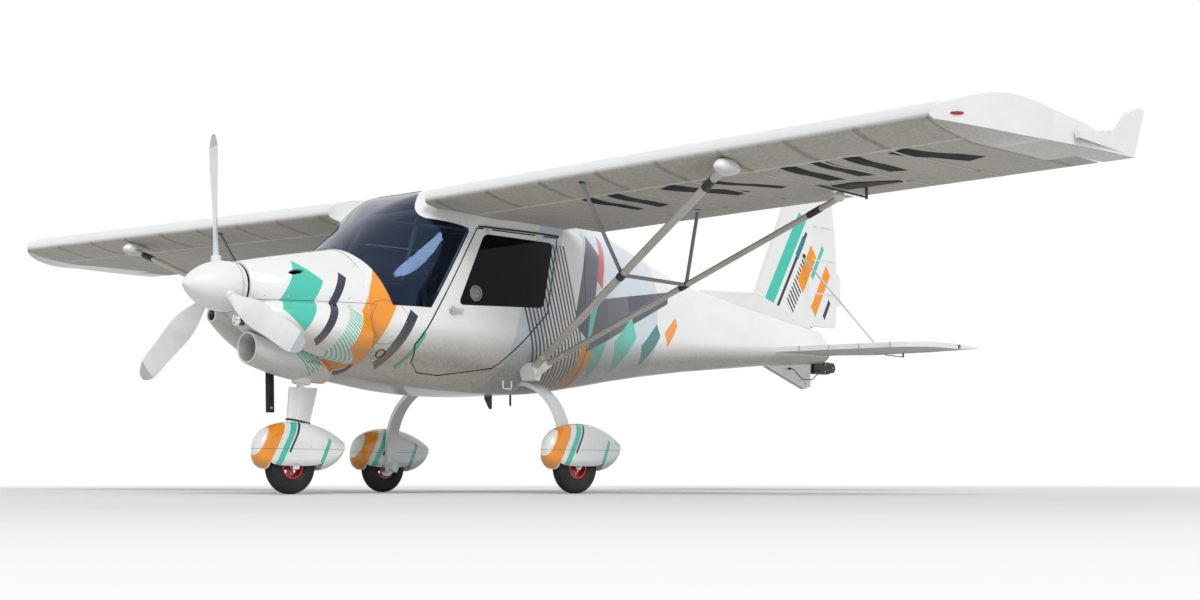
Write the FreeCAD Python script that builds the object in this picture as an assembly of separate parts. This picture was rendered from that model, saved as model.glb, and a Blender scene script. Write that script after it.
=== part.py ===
"""Two-seat, high-wing, strut-braced microlight aircraft with tricycle gear, standing on its wheels.

Frame: +X aft, +Y to the pilot's right, +Z up. The origin lies on the ground, under the middle of the
overall length. Stations are distances aft of the spinner's tip, and heights are above the ground, in
millimetres. Every moulded body is a loft through octagonal sections with rounded corners.
"""

import FreeCAD
import Part

import os
from math import asin, atan2, cos, degrees, pi, radians, sin, sqrt, tan

os.makedirs("parts", exist_ok=True)

# ---- overall -------------------------------------------------------------------------------------
overall_length = 6200
span = 8710
overall_height = 2340

# ---- fits ----------------------------------------------------------------------------------------
seat_gap = 0.3          # between pieces that sit on each other
running_gap = 0.08      # radial, between a pin and its bore
moving_gap = 6          # between a moving piece and its neighbours

# ---- cabin walls and glazing ---------------------------------------------------------------------
cabin_wall = 28
glass_thickness = 5
firewall_station = 1000
firewall_thickness = 26
bulkhead_station = 2700
bulkhead_thickness = 20
tail_wall = 8
tail_cavity_end = 5640

# ---- propeller -----------------------------------------------------------------------------------
thrust_line = 1176
spinner_length = 350
spinner_radius = 140
propeller_station = 238
propeller_radius = 875
blade_chord = 150
blade_thickness = 20
blade_pitch = 24        # degrees, at the middle of the blade
propeller_rest_angle = 4
shaft_radius = 25

# ---- cowling -------------------------------------------------------------------------------------
cowl_front = 362
cowl_wall = 12
cowl_split = 1100
intake_radius = 78
intake_depth = 230
duct_radius = 92

# ---- engine, exhaust and nose leg socket -----------------------------------------------------------
socket_radius = 62
exhaust_size = (62, 28)
exhaust_bottom = 475
exhaust_station = 700
exhaust_y = 118
engine_bottom = 970

# ---- wing ----------------------------------------------------------------------------------------
chord = 1345
wing_le_station = 1400
wing_le_height = 1752
incidence = 4.0
dihedral = 1.0
wing_root = 580
tip_start = 4000
wing_rear_station = 2482
surface_nose_radius = 27
surface_tail_thickness = 6
flap_inboard = 640
flap_outboard = 2612
aileron_inboard = 2664
aileron_outboard = 4150
winglet_height = 262
winglet_thickness = 26

# ---- wing struts ---------------------------------------------------------------------------------
front_strut = (60, 36)      # chord and thickness
rear_strut = (46, 32)
front_strut_foot = (2160, 628, 776)
rear_strut_foot = (2262, 632, 796)
front_strut_head = (1470, 2702)
rear_strut_head = (2456, 2724)
jury_radius = 11
jury_share = 0.5        # of the strut's length

# ---- landing gear --------------------------------------------------------------------------------
tyre_radius = 165
tyre_width = 90
rim_radius = 76
axle_radius = 10
axle_reach = 50
main_wheel_station = 2240
main_wheel_y = 885
nose_wheel_station = 775
leg_chord = 88
leg_thickness = 26
leg_bend_y = 420
leg_bend_z = 300
spat_wall = 6
spat_half_width = 72
fork_thickness = 8
steering_axis_top = (845, 640)
steering_axis_low = (801, 360)
nose_stem_radius = 24
nose_fairing_half = 22
nose_fairing_bottom = 396
nose_fairing_top = 622

# ---- tail ----------------------------------------------------------------------------------------
tail_end = 5900
tail_height = 1045
stabiliser_thickness = 36
stabiliser_half_span = 1320
elevator_axis = 5838
elevator_nose_radius = 18
elevator_inboard = 150
rudder_axis = 5800
rudder_foot = 1262
fin_thickness = 36
rudder_nose_radius = 18
torque_tube_radius = 12
hinge_pin_radius = 5
hinge_plate = 8
brace_radius = 7


# ---- doors, lights, loops and the release cable ----------------------------------------------------
door_hinge_y = 585
door_hinge_height = 1596
door_hinge_stations = (1790, 2230)
knuckle_radius = 6
knuckle_length = 26
hinge_leaf = 2.5
handle_station = 1494
handle_height = 1085
landing_light_radius = 30
landing_light_height = 992
cooler_station = 640
cooler_thickness = 34
vent_slot = (601, 252, 1268)
vent_slot_size = (95, 34)
tie_loop_station = 2075
tie_loop_y = 468
tie_loop_radius = 5
tow_bar_bore = 5
tow_bar_depth = 25
tail_tie_bore = 6
tail_tie_station = 5700
tail_tie_height = 812
cable_radius = 3.5
cable_bend = 26
cable_y = 72
hook_half = 38

half_length = overall_length / 2
Y_AXIS = FreeCAD.Vector(0, 1, 0)


def at(station, y, z):
    """A point from its station, its distance to the right and its height."""
    return FreeCAD.Vector(station - half_length, y, z)


def save(name, *solids):
    """Write one node as a STEP file of one or more solids."""
    pieces = [s for shape in solids for s in shape.Solids]
    shape = pieces[0] if len(pieces) == 1 else Part.makeCompound(pieces)
    shape.exportStep(f"parts/{name}.step")
    print(f"{name:24s} {len(pieces)} solids, {sum(s.Volume for s in pieces) / 1e6:.2f} litres")


def rounded_wire(points, share=0.46):
    """A closed wire through points, with each corner rounded as far as its two sides allow."""
    count = len(points)
    edges, starts, ends = [], [], []
    for i, corner in enumerate(points):
        before = points[i - 1] - corner
        after = points[(i + 1) % count] - corner
        reach = share * min(before.Length, after.Length)
        start = corner + before.normalize() * reach
        end = corner + after.normalize() * reach
        half = before.getAngle(after) / 2
        bisector = (before + after).normalize()
        middle = corner + bisector * (reach / cos(half) - reach * tan(half))
        starts.append(start)
        ends.append(end)
        edges.append(Part.Arc(start, middle, end).toShape())
    wire = []
    for i in range(count):
        wire.append(edges[i])
        wire.append(Part.LineSegment(ends[i], starts[(i + 1) % count]).toShape())
    return Part.Wire(wire)


def section(row, grow=0.0, centre=(0.0, 0.0)):
    """One octagonal section. A row is station, then height and half width at bottom, low, high and top."""
    station, z0, w0, z1, w1, z2, w2, z3, w3 = row
    half = [
        (w0 + 0.4 * grow, z0 - grow),
        (w1 + grow, z1 - 0.4 * grow),
        (w2 + grow, z2 + 0.4 * grow),
        (w3 + 0.4 * grow, z3 + grow),
    ]
    ring = half + [(-w, z) for w, z in reversed(half)]
    return rounded_wire([at(station, centre[0] + w, centre[1] + z) for w, z in ring])


def body(rows, grow=0.0, centre=(0.0, 0.0), ruled=False):
    """A solid lofted through the sections of a table."""
    return Part.makeLoft([section(row, grow, centre) for row in rows], True, ruled, False, 5)


def shift_rows(rows, station):
    """The same sections, moved aft."""
    return [(row[0] + station,) + row[1:] for row in rows]


def box(low, high):
    """A block between two corners, each a station, a y and a height."""
    size = [b - a for a, b in zip(low, high)]
    return Part.makeBox(size[0], size[1], size[2], at(*low))


def side_prism(points, y0, y1, round_share=0.0):
    """A side-view outline of stations and heights, extruded across from y0 to y1."""
    corners = [at(s, y0, z) for s, z in points]
    wire = rounded_wire(corners, round_share) if round_share else Part.makePolygon(corners + corners[:1])
    return Part.Face(wire).extrude(FreeCAD.Vector(0, y1 - y0, 0))


def plan_prism(points, z0, z1):
    """A plan outline of stations and y, extruded up from z0 to z1."""
    corners = [at(s, y, z0) for s, y in points]
    return Part.Face(Part.makePolygon(corners + corners[:1])).extrude(FreeCAD.Vector(0, 0, z1 - z0))


def rod(start, end, radius):
    """A round bar between two points."""
    along = end - start
    return Part.makeCylinder(radius, along.Length, start, along)


def bent_rod(points, radius, bend):
    """A round bar through points, straight between them and bent round an arc at each one."""
    edges = []
    start = points[0]
    for before, corner, after in zip(points, points[1:], points[2:]):
        back = (before - corner).normalize()
        ahead = (after - corner).normalize()
        half = back.getAngle(ahead) / 2
        reach = bend / tan(half)
        middle = corner + (back + ahead).normalize() * (bend / sin(half) - bend)
        edges.append(Part.LineSegment(start, corner + back * reach).toShape())
        edges.append(Part.Arc(corner + back * reach, middle, corner + ahead * reach).toShape())
        start = corner + ahead * reach
    edges.append(Part.LineSegment(start, points[-1]).toShape())
    ring = Part.Wire(Part.makeCircle(radius, points[0], points[1] - points[0]))
    return Part.Wire(edges).makePipeShell([ring], True, False, 2)


def oval_bar(start, end, long_axis, width, thickness):
    """A bar of oval section between two points, its wide side lying along long_axis."""
    along = end - start
    unit = FreeCAD.Vector(along).normalize()
    wide = (long_axis - unit * long_axis.dot(unit)).normalize()
    thin = unit.cross(wide)
    quarter = [wide * (width / 2), thin * (thickness / 2), wide * (-width / 2), thin * (-thickness / 2)]
    between = [(quarter[i] + quarter[(i + 1) % 4]) * 0.70711 for i in range(4)]
    arcs = [Part.Arc(start + quarter[i], start + between[i], start + quarter[(i + 1) % 4]).toShape() for i in range(4)]
    return Part.Face(Part.Wire(arcs)).extrude(along)


def mirrored(shape):
    """The same piece on the other side of the aircraft."""
    return shape.mirror(FreeCAD.Vector(0, 0, 0), Y_AXIS)


def inset(points, gap):
    """A side-view outline moved inwards by a gap, whichever way round its points run."""
    count = len(points)
    area = sum(points[i - 1][0] * points[i][1] - points[i][0] * points[i - 1][1] for i in range(count))
    turn = 1 if area > 0 else -1
    lines = []
    for i in range(count):
        (s0, z0), (s1, z1) = points[i], points[(i + 1) % count]
        length = sqrt((s1 - s0) ** 2 + (z1 - z0) ** 2)
        normal = (-(z1 - z0) / length * turn, (s1 - s0) / length * turn)
        lines.append(((s0 + normal[0] * gap, z0 + normal[1] * gap), (s1 - s0, z1 - z0)))
    moved = []
    for i in range(count):
        (p, d), (q, e) = lines[i - 1], lines[i]
        cross = d[0] * e[1] - d[1] * e[0]
        t = ((q[0] - p[0]) * e[1] - (q[1] - p[1]) * e[0]) / cross
        moved.append((p[0] + d[0] * t, p[1] + d[1] * t))
    return moved


# ---- fuselage envelope ---------------------------------------------------------------------------
# Columns: station, then height and half width at the bottom, low side, high side and top.
CABIN = [
    (1000, 700, 240, 900, 450, 1230, 430, 1447, 150),
    (1200, 672, 290, 865, 535, 1330, 500, 1600, 185),
    (1400, 650, 330, 850, 592, 1480, 562, 1742, 270),
    (1600, 632, 370, 845, 600, 1650, 582, 1842, 400),
    (1850, 618, 400, 840, 600, 1740, 582, 1880, 470),
    (2300, 615, 400, 842, 600, 1740, 580, 1886, 460),
    (2700, 655, 375, 862, 560, 1660, 520, 1862, 350),
]
TAIL = [
    (2700, 655, 375, 862, 560, 1660, 520, 1862, 350),
    (2980, 691, 328, 890, 502, 1590, 430, 1829, 243),
    (3300, 737, 270, 928, 420, 1500, 322, 1770, 140),
    (3720, 790, 206, 958, 339, 1392, 250, 1632, 84),
    (4200, 842, 150, 990, 265, 1290, 190, 1478, 50),
    (5150, 925, 80, 1030, 162, 1185, 118, 1330, 36),
    (5900, 972, 48, 1032, 118, 1110, 95, 1216, 28),
]


def cabin_envelope(grow=0.0, front=None, rear=None):
    """The cabin's outer form, grown by a gap or shrunk by a wall, and cut square at front and rear."""
    form = body(CABIN, grow)
    if front is None:
        return form
    return form.common(box((front, -900, 300), (rear, 900, 2300)))


def tail_envelope(grow=0.0):
    """The aft fuselage's outer form."""
    return body(TAIL, grow, (0.0, 0.0), True)


# ---- openings in the cabin, as side-view outlines of stations and heights -------------------------
windscreen_outline = [
    (990, 1900), (998, 1470), (1044, 1365), (1086, 1222), (1128, 1098), (1352, 1092), (1634, 1562),
    (1612, 1700), (1600, 1900),
]
door_outline = [
    (1700, 1596), (1402, 1105), (1262, 872), (1292, 772), (1385, 712), (1530, 700), (1890, 752),
    (2302, 1108), (2404, 1596),
]
door_window_outline = [(1762, 1562), (1546, 1118), (2262, 1142), (2358, 1556)]
skylight = (1800, 2330, 330)


def make_cabin():
    """The hollow cabin moulding with its door openings, and the glass and doors cut from the same skin."""
    outer = cabin_envelope()
    inner = cabin_envelope(-cabin_wall, firewall_station + firewall_thickness, bulkhead_station - bulkhead_thickness)
    glass_inner = cabin_envelope(-glass_thickness)
    wall = outer.cut(inner)
    glass = outer.cut(glass_inner)

    windscreen_cut = side_prism(windscreen_outline, -900, 900)
    sky_front, sky_rear, sky_half = skylight
    sky_cut = box((sky_front, -sky_half, 1700), (sky_rear, sky_half, 2000))
    shell = wall.cut(windscreen_cut).cut(sky_cut)
    for side in (-1, 1):
        y0, y1 = sorted((side * 300, side * 900))
        shell = shell.cut(side_prism(door_outline, y0, y1))
        shell = shell.cut([knuckle_pocket(station, side) for station in door_hinge_stations])
    shell = max(shell.Solids, key=lambda s: s.Volume)
    save("cabin_shell", shell)

    save("windscreen", glass.common(side_prism(inset(windscreen_outline, seat_gap), -900, 900)))
    sky_pane = box(
        (sky_front + seat_gap, -sky_half + seat_gap, 1700), (sky_rear - seat_gap, sky_half - seat_gap, 2000)
    )
    save("skylight", glass.common(sky_pane))

    for side, name in ((-1, "left"), (1, "right")):
        y0, y1 = sorted((side * 300, side * 900))
        panel = wall.common(side_prism(inset(door_outline, moving_gap), y0, y1))
        panel = panel.cut(side_prism(door_window_outline, y0, y1, 0.08))
        pane = glass.common(side_prism(inset(door_window_outline, seat_gap), y0, y1, 0.08))
        save(f"door_{name}", panel)
        save(f"door_window_{name}", pane)
    fixed = []
    for side, name in ((-1, "left"), (1, "right")):
        pairs = [door_hinge(station, side) for station in door_hinge_stations]
        fixed += [pair[0] for pair in pairs]
        save(f"door_fittings_{name}", door_handle(side), *[pair[1] for pair in pairs])
    save("door_hinges", *fixed)


def door_handle(side):
    """A round escutcheon and a lever, standing on the door's outer face."""
    disc_y = (side * 560, side * 606)
    lever_y = sorted((side * 606, side * 616))
    disc = rod(at(handle_station, disc_y[0], handle_height), at(handle_station, disc_y[1], handle_height), 24)
    plate = max(disc.cut(cabin_envelope(seat_gap)).Solids, key=lambda s: abs(s.CenterOfMass.y))
    lever = side_prism([
        (handle_station - 14, handle_height - 11), (handle_station - 14, handle_height + 11),
        (handle_station + 80, handle_height + 7), (handle_station + 80, handle_height - 7),
    ], lever_y[0], lever_y[1], 0.3)
    return plate.fuse(lever)


def knuckle_pocket(station, side):
    """The hollow in the roof's edge in which a door's knuckle turns."""
    reach = knuckle_length / 2 + 1
    ends = [at(station + offset, side * door_hinge_y, door_hinge_height) for offset in (-reach, reach)]
    return rod(ends[0], ends[1], knuckle_radius + 1)


def door_hinge(station, side):
    """One door hinge: two fixed knuckles with their pin and leaf, and the door's knuckle between them."""
    def on_axis(offset):
        return at(station + offset, side * door_hinge_y, door_hinge_height)

    half = knuckle_length / 2
    reach = half * 2.6
    pin_radius = knuckle_radius / 2
    y0, y1 = sorted((side * 500, side * 640))
    skin = cabin_envelope(seat_gap + hinge_leaf).cut(cabin_envelope(seat_gap))
    outside = rod(on_axis(-reach), on_axis(reach), knuckle_radius)
    pin = rod(on_axis(-reach), on_axis(reach), pin_radius)
    knuckles = outside.cut(rod(on_axis(-half - 0.5), on_axis(half + 0.5), knuckle_radius + 1))
    leaf = skin.common(box(
        (station - reach, y0, door_hinge_height + 1), (station + reach, y1, door_hinge_height + 22)
    ))
    notch = rod(on_axis(-half - 0.5), on_axis(half + 0.5), knuckle_radius + 1)
    frame_part = leaf.cut(notch).fuse([knuckles, pin]).cut(cabin_envelope(seat_gap))
    frame_part = max(frame_part.Solids, key=lambda s: s.Volume)
    turning = rod(on_axis(-half), on_axis(half), knuckle_radius)
    flap = skin.common(box(
        (station - half, y0, door_hinge_height - 30), (station + half, y1, door_hinge_height)
    ))
    bore = rod(on_axis(-reach), on_axis(reach), pin_radius + running_gap)
    door_part = turning.fuse(flap).cut(bore).cut(cabin_envelope(seat_gap))
    return frame_part, max(door_part.Solids, key=lambda s: s.Volume)


def make_tail():
    """The hollow aft fuselage, slotted for the elevator's torque tube, its dorsal ridge and ventral fin."""
    reach = torque_tube_radius + moving_gap
    slot = box((elevator_axis, -200, tail_height - reach), (tail_end + 50, 200, tail_height + reach))
    bed = rod(at(elevator_axis, -200, tail_height), at(elevator_axis, 200, tail_height), reach)
    cavity = tail_envelope(-tail_wall).common(box((bulkhead_station - 50, -900, 300), (tail_cavity_end, 900, 2300)))
    cone = tail_envelope().cut(slot.fuse(bed)).cut(cavity)
    save("aft_fuselage", cone)
    grown = tail_envelope(seat_gap)
    rear = rudder_axis - rudder_nose_radius - moving_gap
    ridge = side_prism([(4480, 1250), (4480, 1447), (5112, 1470), (rear, 1262), (rear, 1120)], -24, 24)
    save("dorsal_ridge", max(ridge.cut(grown).Solids, key=lambda s: s.Volume))
    keel = side_prism([(5230, 1000), (5230, 925), (5695, 772), (5765, 792), (5775, 1000)], -20, 20)
    bore = rod(at(tail_tie_station, -60, tail_tie_height), at(tail_tie_station, 60, tail_tie_height), tail_tie_bore)
    save("ventral_fin", min(keel.cut(grown).cut(bore).Solids, key=lambda s: s.CenterOfMass.z))


# ---- cowling -------------------------------------------------------------------------------------
COWL = [
    (362, 1032, 60, 1112, 152, 1240, 152, 1326, 60),
    (520, 905, 120, 1030, 262, 1230, 262, 1358, 120),
    (720, 840, 170, 985, 345, 1222, 350, 1396, 140),
    (998, 722, 250, 915, 452, 1232, 436, 1447, 152),
]
# Columns: station, centre y, centre height, radius of each cheek.
CHEEK = [
    (352, 205, 1030, 44),
    (480, 240, 1000, 92),
    (700, 285, 955, 150),
    (980, 318, 918, 170),
]


def cheek(side, grow):
    """One cheek bulge, a loft through circles."""
    rings = [
        Part.Wire(Part.makeCircle(r + grow, at(s, side * y, z), FreeCAD.Vector(1, 0, 0)))
        for s, y, z, r in CHEEK
    ]
    return Part.makeLoft(rings, True, False, False, 5)


def chin_duct(grow):
    """The radiator duct under the nose, from its round mouth back to the nose leg."""
    stations = ((455, 838, duct_radius), (700, 785, duct_radius + 14), (998, 760, duct_radius + 20))
    rings = [
        Part.Wire(Part.makeCircle(r + grow, at(s, 0, z), FreeCAD.Vector(1, 0, 0))) for s, z, r in stations
    ]
    return Part.makeLoft(rings, True, False, False, 5)


def steering_line():
    """A point on the nose leg's steering axis, and its unit vector upwards."""
    low = at(steering_axis_low[0], 0, steering_axis_low[1])
    top = at(steering_axis_top[0], 0, steering_axis_top[1])
    return low, (top - low).normalize()


def landing_light_body(grow):
    """The landing light's round body, facing forwards under the spinner."""
    front, rear = cowl_front + 16, cowl_front + 88
    return rod(at(front - grow, 0, landing_light_height), at(rear + grow, 0, landing_light_height), landing_light_radius + grow)


def vent_slot_cut():
    """The oval vent in the left shoulder of the upper cowl."""
    station, y, z = vent_slot
    outwards = FreeCAD.Vector(0, -0.67, 0.74)
    middle = at(station, -y, z)
    long_side, short_side = vent_slot_size
    return oval_bar(middle - outwards * 60, middle + outwards * 60, FreeCAD.Vector(1, 0, 0), long_side, short_side)


def make_cowling():
    """Upper and lower cowl shells, open at the spinner, the round duct, the two cheek inlets and the rear."""
    outer = body(COWL).fuse([cheek(-1, 0), cheek(1, 0), chin_duct(0)])
    inner = body(COWL, -cowl_wall).fuse([cheek(-1, -cowl_wall), cheek(1, -cowl_wall), chin_duct(-cowl_wall)])
    shell = outer.cut(inner)
    low, up = steering_line()
    shell = shell.cut(Part.makeCylinder(socket_radius + seat_gap, 400, low, up))
    shell = shell.cut(exhaust_bar(4)).cut(landing_light_body(seat_gap)).cut(vent_slot_cut())
    upper = shell.common(box((0, -900, cowl_split + seat_gap), (1200, 900, 2000)))
    lower = shell.common(box((0, -900, 0), (1200, 900, cowl_split)))
    save("cowl_upper", max(upper.Solids, key=lambda s: s.Volume))
    save("cowl_lower", max(lower.Solids, key=lambda s: s.Volume))
    save("landing_light", landing_light_body(0))
    cooler = chin_duct(-cowl_wall - seat_gap)
    cooler = cooler.common(box((cooler_station, -300, 500), (cooler_station + cooler_thickness, 300, 1000)))
    save("oil_cooler", cooler)


# ---- engine, exhaust and nose leg socket -----------------------------------------------------------

def exhaust_bar(grow):
    """The flattened tail pipe, from under the engine down past the lower cowl."""
    low = at(exhaust_station + 16, exhaust_y, exhaust_bottom)
    high = at(exhaust_station, exhaust_y, engine_bottom - seat_gap)
    wide, narrow = exhaust_size
    return oval_bar(low, high, FreeCAD.Vector(1, 0, 0), wide + 2 * grow, narrow + 2 * grow)


def make_engine():
    """The engine as one block with its gearbox boss, bored for the propeller shaft, and the tail pipe."""
    block = box((560, -158, engine_bottom), (960, 158, 1286))
    boss = rod(at(420, 0, thrust_line), at(565, 0, thrust_line), 72)
    mount = box((955, -150, 960), (firewall_station - seat_gap, 150, 1250))
    bore = rod(at(400, 0, thrust_line), at(500, 0, thrust_line), shaft_radius + running_gap)
    save("engine_block", block.fuse([boss, mount]).cut(bore))
    under_engine = box((0, -900, 0), (1200, 900, engine_bottom - seat_gap))
    save("exhaust_pipe", exhaust_bar(0).common(under_engine))
    low, up = steering_line()
    collar = Part.makeCone(socket_radius - 8, socket_radius, 30, low + up * 287, up)
    barrel = Part.makeCylinder(socket_radius, 66, low + up * 317, up)
    bore = Part.makeCylinder(nose_stem_radius + running_gap, 400, low, up)
    arm = box((870, -34, 700), (firewall_station - seat_gap, 34, 742))
    save("nose_leg_socket", collar.fuse([barrel, arm]).cut(bore))


# ---- propeller -----------------------------------------------------------------------------------
def make_propeller():
    """Spinner with its shaft, and three twisted blades rooted in it."""
    base = spinner_length
    arc = Part.Arc(at(0, 0, thrust_line), at(105, 0, thrust_line + 96), at(base, 0, thrust_line + spinner_radius))
    rim = Part.makePolygon([
        at(base, 0, thrust_line + spinner_radius), at(base, 0, thrust_line), at(0, 0, thrust_line),
    ])
    face = Part.Face(Part.Wire([arc.toShape()] + rim.Edges))
    dome = face.revolve(at(0, 0, thrust_line), FreeCAD.Vector(1, 0, 0), 360)
    shaft = rod(at(base - 1, 0, thrust_line), at(470, 0, thrust_line), shaft_radius)
    roots = [blade_root(k) for k in range(3)]
    save("spinner", dome.fuse(shaft).cut(Part.makeCompound([r[0] for r in roots])))
    save("propeller_blades", *[blade(k, roots[k][1]) for k in range(3)])


def blade_turn(index):
    """The angle of a blade about the thrust line, from straight up."""
    return propeller_rest_angle + 120 * index


def spin(shape, angle):
    """A shape turned about the thrust line."""
    copy = shape.copy()
    copy.rotate(at(0, 0, thrust_line), FreeCAD.Vector(1, 0, 0), -angle)
    return copy


def blade_root(index):
    """The socket in the spinner and the round shank that sits in it."""
    foot = at(propeller_station, 0, thrust_line + 40)
    socket = Part.makeCylinder(30 + seat_gap, 200, foot - FreeCAD.Vector(0, 0, seat_gap), FreeCAD.Vector(0, 0, 1))
    shank = Part.makeCylinder(30, 130, foot, FreeCAD.Vector(0, 0, 1))
    return spin(socket, blade_turn(index)), shank


def blade(index, shank):
    """One blade, a loft of lens-shaped sections that untwist towards the tip, on its shank."""
    # Columns: share of the radius, share of the full chord, share of the full thickness.
    rows = ((0.185, 0.36, 1.9), (0.32, 0.74, 1.35), (0.55, 1.0, 1.0), (0.8, 0.94, 0.62), (0.965, 0.62, 0.4), (1.0, 0.3, 0.3))
    wires = []
    for share, chord_share, thick_share in rows:
        radius = share * propeller_radius
        pitch = radians(blade_pitch) * 0.55 / max(share, 0.35)
        half, thick = blade_chord * chord_share / 2, blade_thickness * thick_share / 2
        wide = FreeCAD.Vector(sin(pitch), cos(pitch), 0)
        thin = FreeCAD.Vector(cos(pitch), -sin(pitch), 0)
        centre = at(propeller_station, 0, thrust_line + radius)
        fore, aft = centre + wide * half, centre - wide * half
        wires.append(Part.Wire([
            Part.Arc(fore, centre + thin * thick, aft).toShape(),
            Part.Arc(aft, centre - thin * thick, fore).toShape(),
        ]))
    vane = Part.makeLoft(wires, True, False, False, 5)
    return spin(vane.fuse(shank), blade_turn(index))


# ---- wing ----------------------------------------------------------------------------------------
def wing_point(share_x, share_z, y):
    """A point on the wing from its share of the chord aft of and above the leading edge, at a y."""
    s, z = share_x * chord, share_z * chord
    a = radians(incidence)
    rise = (abs(y) - wing_root) * tan(radians(dihedral))
    return at(wing_le_station + s * cos(a) + z * sin(a), y, wing_le_height - s * sin(a) + z * cos(a) + rise)


def wing_height(station, y, share_z=0.0):
    """The height of the chord line, or of a line parallel to it, at a station and y."""
    a = radians(incidence)
    rise = (abs(y) - wing_root) * tan(radians(dihedral))
    return wing_le_height - (station - wing_le_station) * tan(a) + rise + share_z * chord


UPPER = ((0.012, 0.028), (0.12, 0.076), (0.32, 0.090), (0.65, 0.062), (1.0, 0.003))
LOWER = ((1.0, -0.003), (0.70, -0.022), (0.45, -0.036), (0.20, -0.044), (0.014, -0.020))


def aerofoil(y):
    """The wing's section at a y: arcs over the nose, the front and the rear, and a flat rear underside."""
    upper = [wing_point(x, z, y) for x, z in UPPER]
    lower = [wing_point(x, z, y) for x, z in LOWER]
    nose = wing_point(0, 0, y)
    return Part.Wire([
        Part.Arc(upper[0], upper[1], upper[2]).toShape(),
        Part.Arc(upper[2], upper[3], upper[4]).toShape(),
        Part.LineSegment(upper[4], lower[0]).toShape(),
        Part.Arc(lower[0], lower[1], lower[2]).toShape(),
        Part.Arc(lower[2], lower[3], lower[4]).toShape(),
        Part.Arc(lower[4], nose, upper[0]).toShape(),
    ])


def wing_prism(y0, y1):
    """The wing's section carried from one y to another along the dihedral."""
    return Part.Face(aerofoil(y0)).extrude(FreeCAD.Vector(0, y1 - y0, (y1 - y0) * tan(radians(dihedral))))


def surface_axis(y):
    """A point on the hinge line of the flap and aileron."""
    station = wing_rear_station + surface_nose_radius + moving_gap
    return at(station, y, wing_height(station, y, 0.009))


def trailing_surface(y0, y1):
    """A flap or aileron: a round nose on the hinge line, tapering to the trailing edge, with a pin at each end."""
    def wire(y):
        centre = surface_axis(y)
        tail = wing_point(1.0, 0.0, y)
        half = FreeCAD.Vector(0, 0, surface_tail_thickness / 2)
        nose = FreeCAD.Vector(0, 0, surface_nose_radius)
        front = centre - FreeCAD.Vector(surface_nose_radius, 0, 0)
        return Part.Wire([
            Part.Arc(centre + nose, front, centre - nose).toShape(),
            Part.LineSegment(centre - nose, tail - half).toShape(),
            Part.LineSegment(tail - half, tail + half).toShape(),
            Part.LineSegment(tail + half, centre + nose).toShape(),
        ])
    rise = FreeCAD.Vector(0, y1 - y0, (y1 - y0) * tan(radians(dihedral)))
    slab = Part.Face(wire(y0)).extrude(rise)
    along = FreeCAD.Vector(rise).normalize()
    reach = moving_gap + 8
    pins = rod(surface_axis(y0) - along * reach, surface_axis(y1) + along * reach, hinge_pin_radius)
    return slab.fuse(pins)


def wing_hinge_plate(y, thickness):
    """A plate behind the wing that carries a hinge pin."""
    axis = surface_axis(y)
    radius = surface_nose_radius - 7
    low = axis.z - radius
    plate = box((wing_rear_station + seat_gap, y - thickness / 2, low), (axis.x + half_length, y + thickness / 2, axis.z + radius))
    eye = rod(axis - Y_AXIS * (thickness / 2), axis + Y_AXIS * (thickness / 2), radius)
    along = FreeCAD.Vector(0, cos(radians(dihedral)), sin(radians(dihedral)))
    hole = rod(axis - along * 60, axis + along * 60, hinge_pin_radius + running_gap)
    return plate.fuse(eye).cut(hole)


def make_wing():
    """Both wings, each with its moulded tip and winglet, its flap, its aileron and their hinge plates."""
    trim = cabin_envelope(seat_gap)
    rear_cut = box((wing_rear_station, 0, 1300), (3200, aileron_outboard + 26, 2300))
    middle = (flap_outboard + aileron_inboard) / 2
    gap_between = aileron_inboard - flap_outboard - 2 * moving_gap
    plates = [
        wing_hinge_plate(flap_inboard - moving_gap - hinge_plate / 2, hinge_plate),
        wing_hinge_plate(middle, gap_between),
        wing_hinge_plate(aileron_outboard + moving_gap + hinge_plate / 2, hinge_plate),
    ]
    wing = wing_prism(450, tip_start).cut(rear_cut).cut(trim)
    wing = max(wing.Solids, key=lambda s: s.Volume)
    tip = make_tip(rear_cut)
    flap = trailing_surface(flap_inboard, flap_outboard)
    aileron = trailing_surface(aileron_inboard, aileron_outboard)
    for name, flip in (("right", lambda s: s), ("left", mirrored)):
        save(f"wing_{name}", flip(wing))
        save(f"flap_{name}", flip(flap))
        save(f"aileron_{name}", flip(aileron))
    save("wing_tips", tip, mirrored(tip))
    save("wing_hinges", *plates, *[mirrored(p) for p in plates])


def make_tip(rear_cut):
    """The right wing's moulded tip, curved in plan, with its winglet swept up at the rear."""
    y0, y1 = tip_start + seat_gap, span / 2
    le = wing_le_station
    te = wing_le_station + chord
    corner = at(le - 30, y0 - 30, 1300)
    curve = Part.Arc(at(le - 2, y0, 1300), at(le + 150, y1 - 205, 1300), at(le + 640, y1 - 62, 1300)).toShape()
    outer = Part.Arc(at(le + 640, y1 - 62, 1300), at(te - 330, y1 - 12, 1300), at(te + 20, y1, 1300)).toShape()
    points = [at(te + 20, y1, 1300), at(te + 20, y0 - 30, 1300), corner, at(le - 30, y0, 1300), at(le - 2, y0, 1300)]
    plan = Part.Face(Part.Wire([curve, outer] + Part.makePolygon(points).Edges))
    tip = wing_prism(y0, y1).common(plan.extrude(FreeCAD.Vector(0, 0, 1000))).cut(rear_cut)
    tip = max(tip.Solids, key=lambda s: s.Volume)
    low = wing_height(te, y1)
    # Side outline of the winglet: stations and heights above the trailing edge.
    outline = [
        (te - 560, 30), (te - 560, 62), (te - 190, 112), (te - 60, winglet_height - 40),
        (te + 62, winglet_height), (te + 108, winglet_height - 10), (te - 8, 2),
    ]
    fin = side_prism([(s, low + z) for s, z in outline], y1 - winglet_thickness, y1)
    return tip.fuse(fin)


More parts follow.
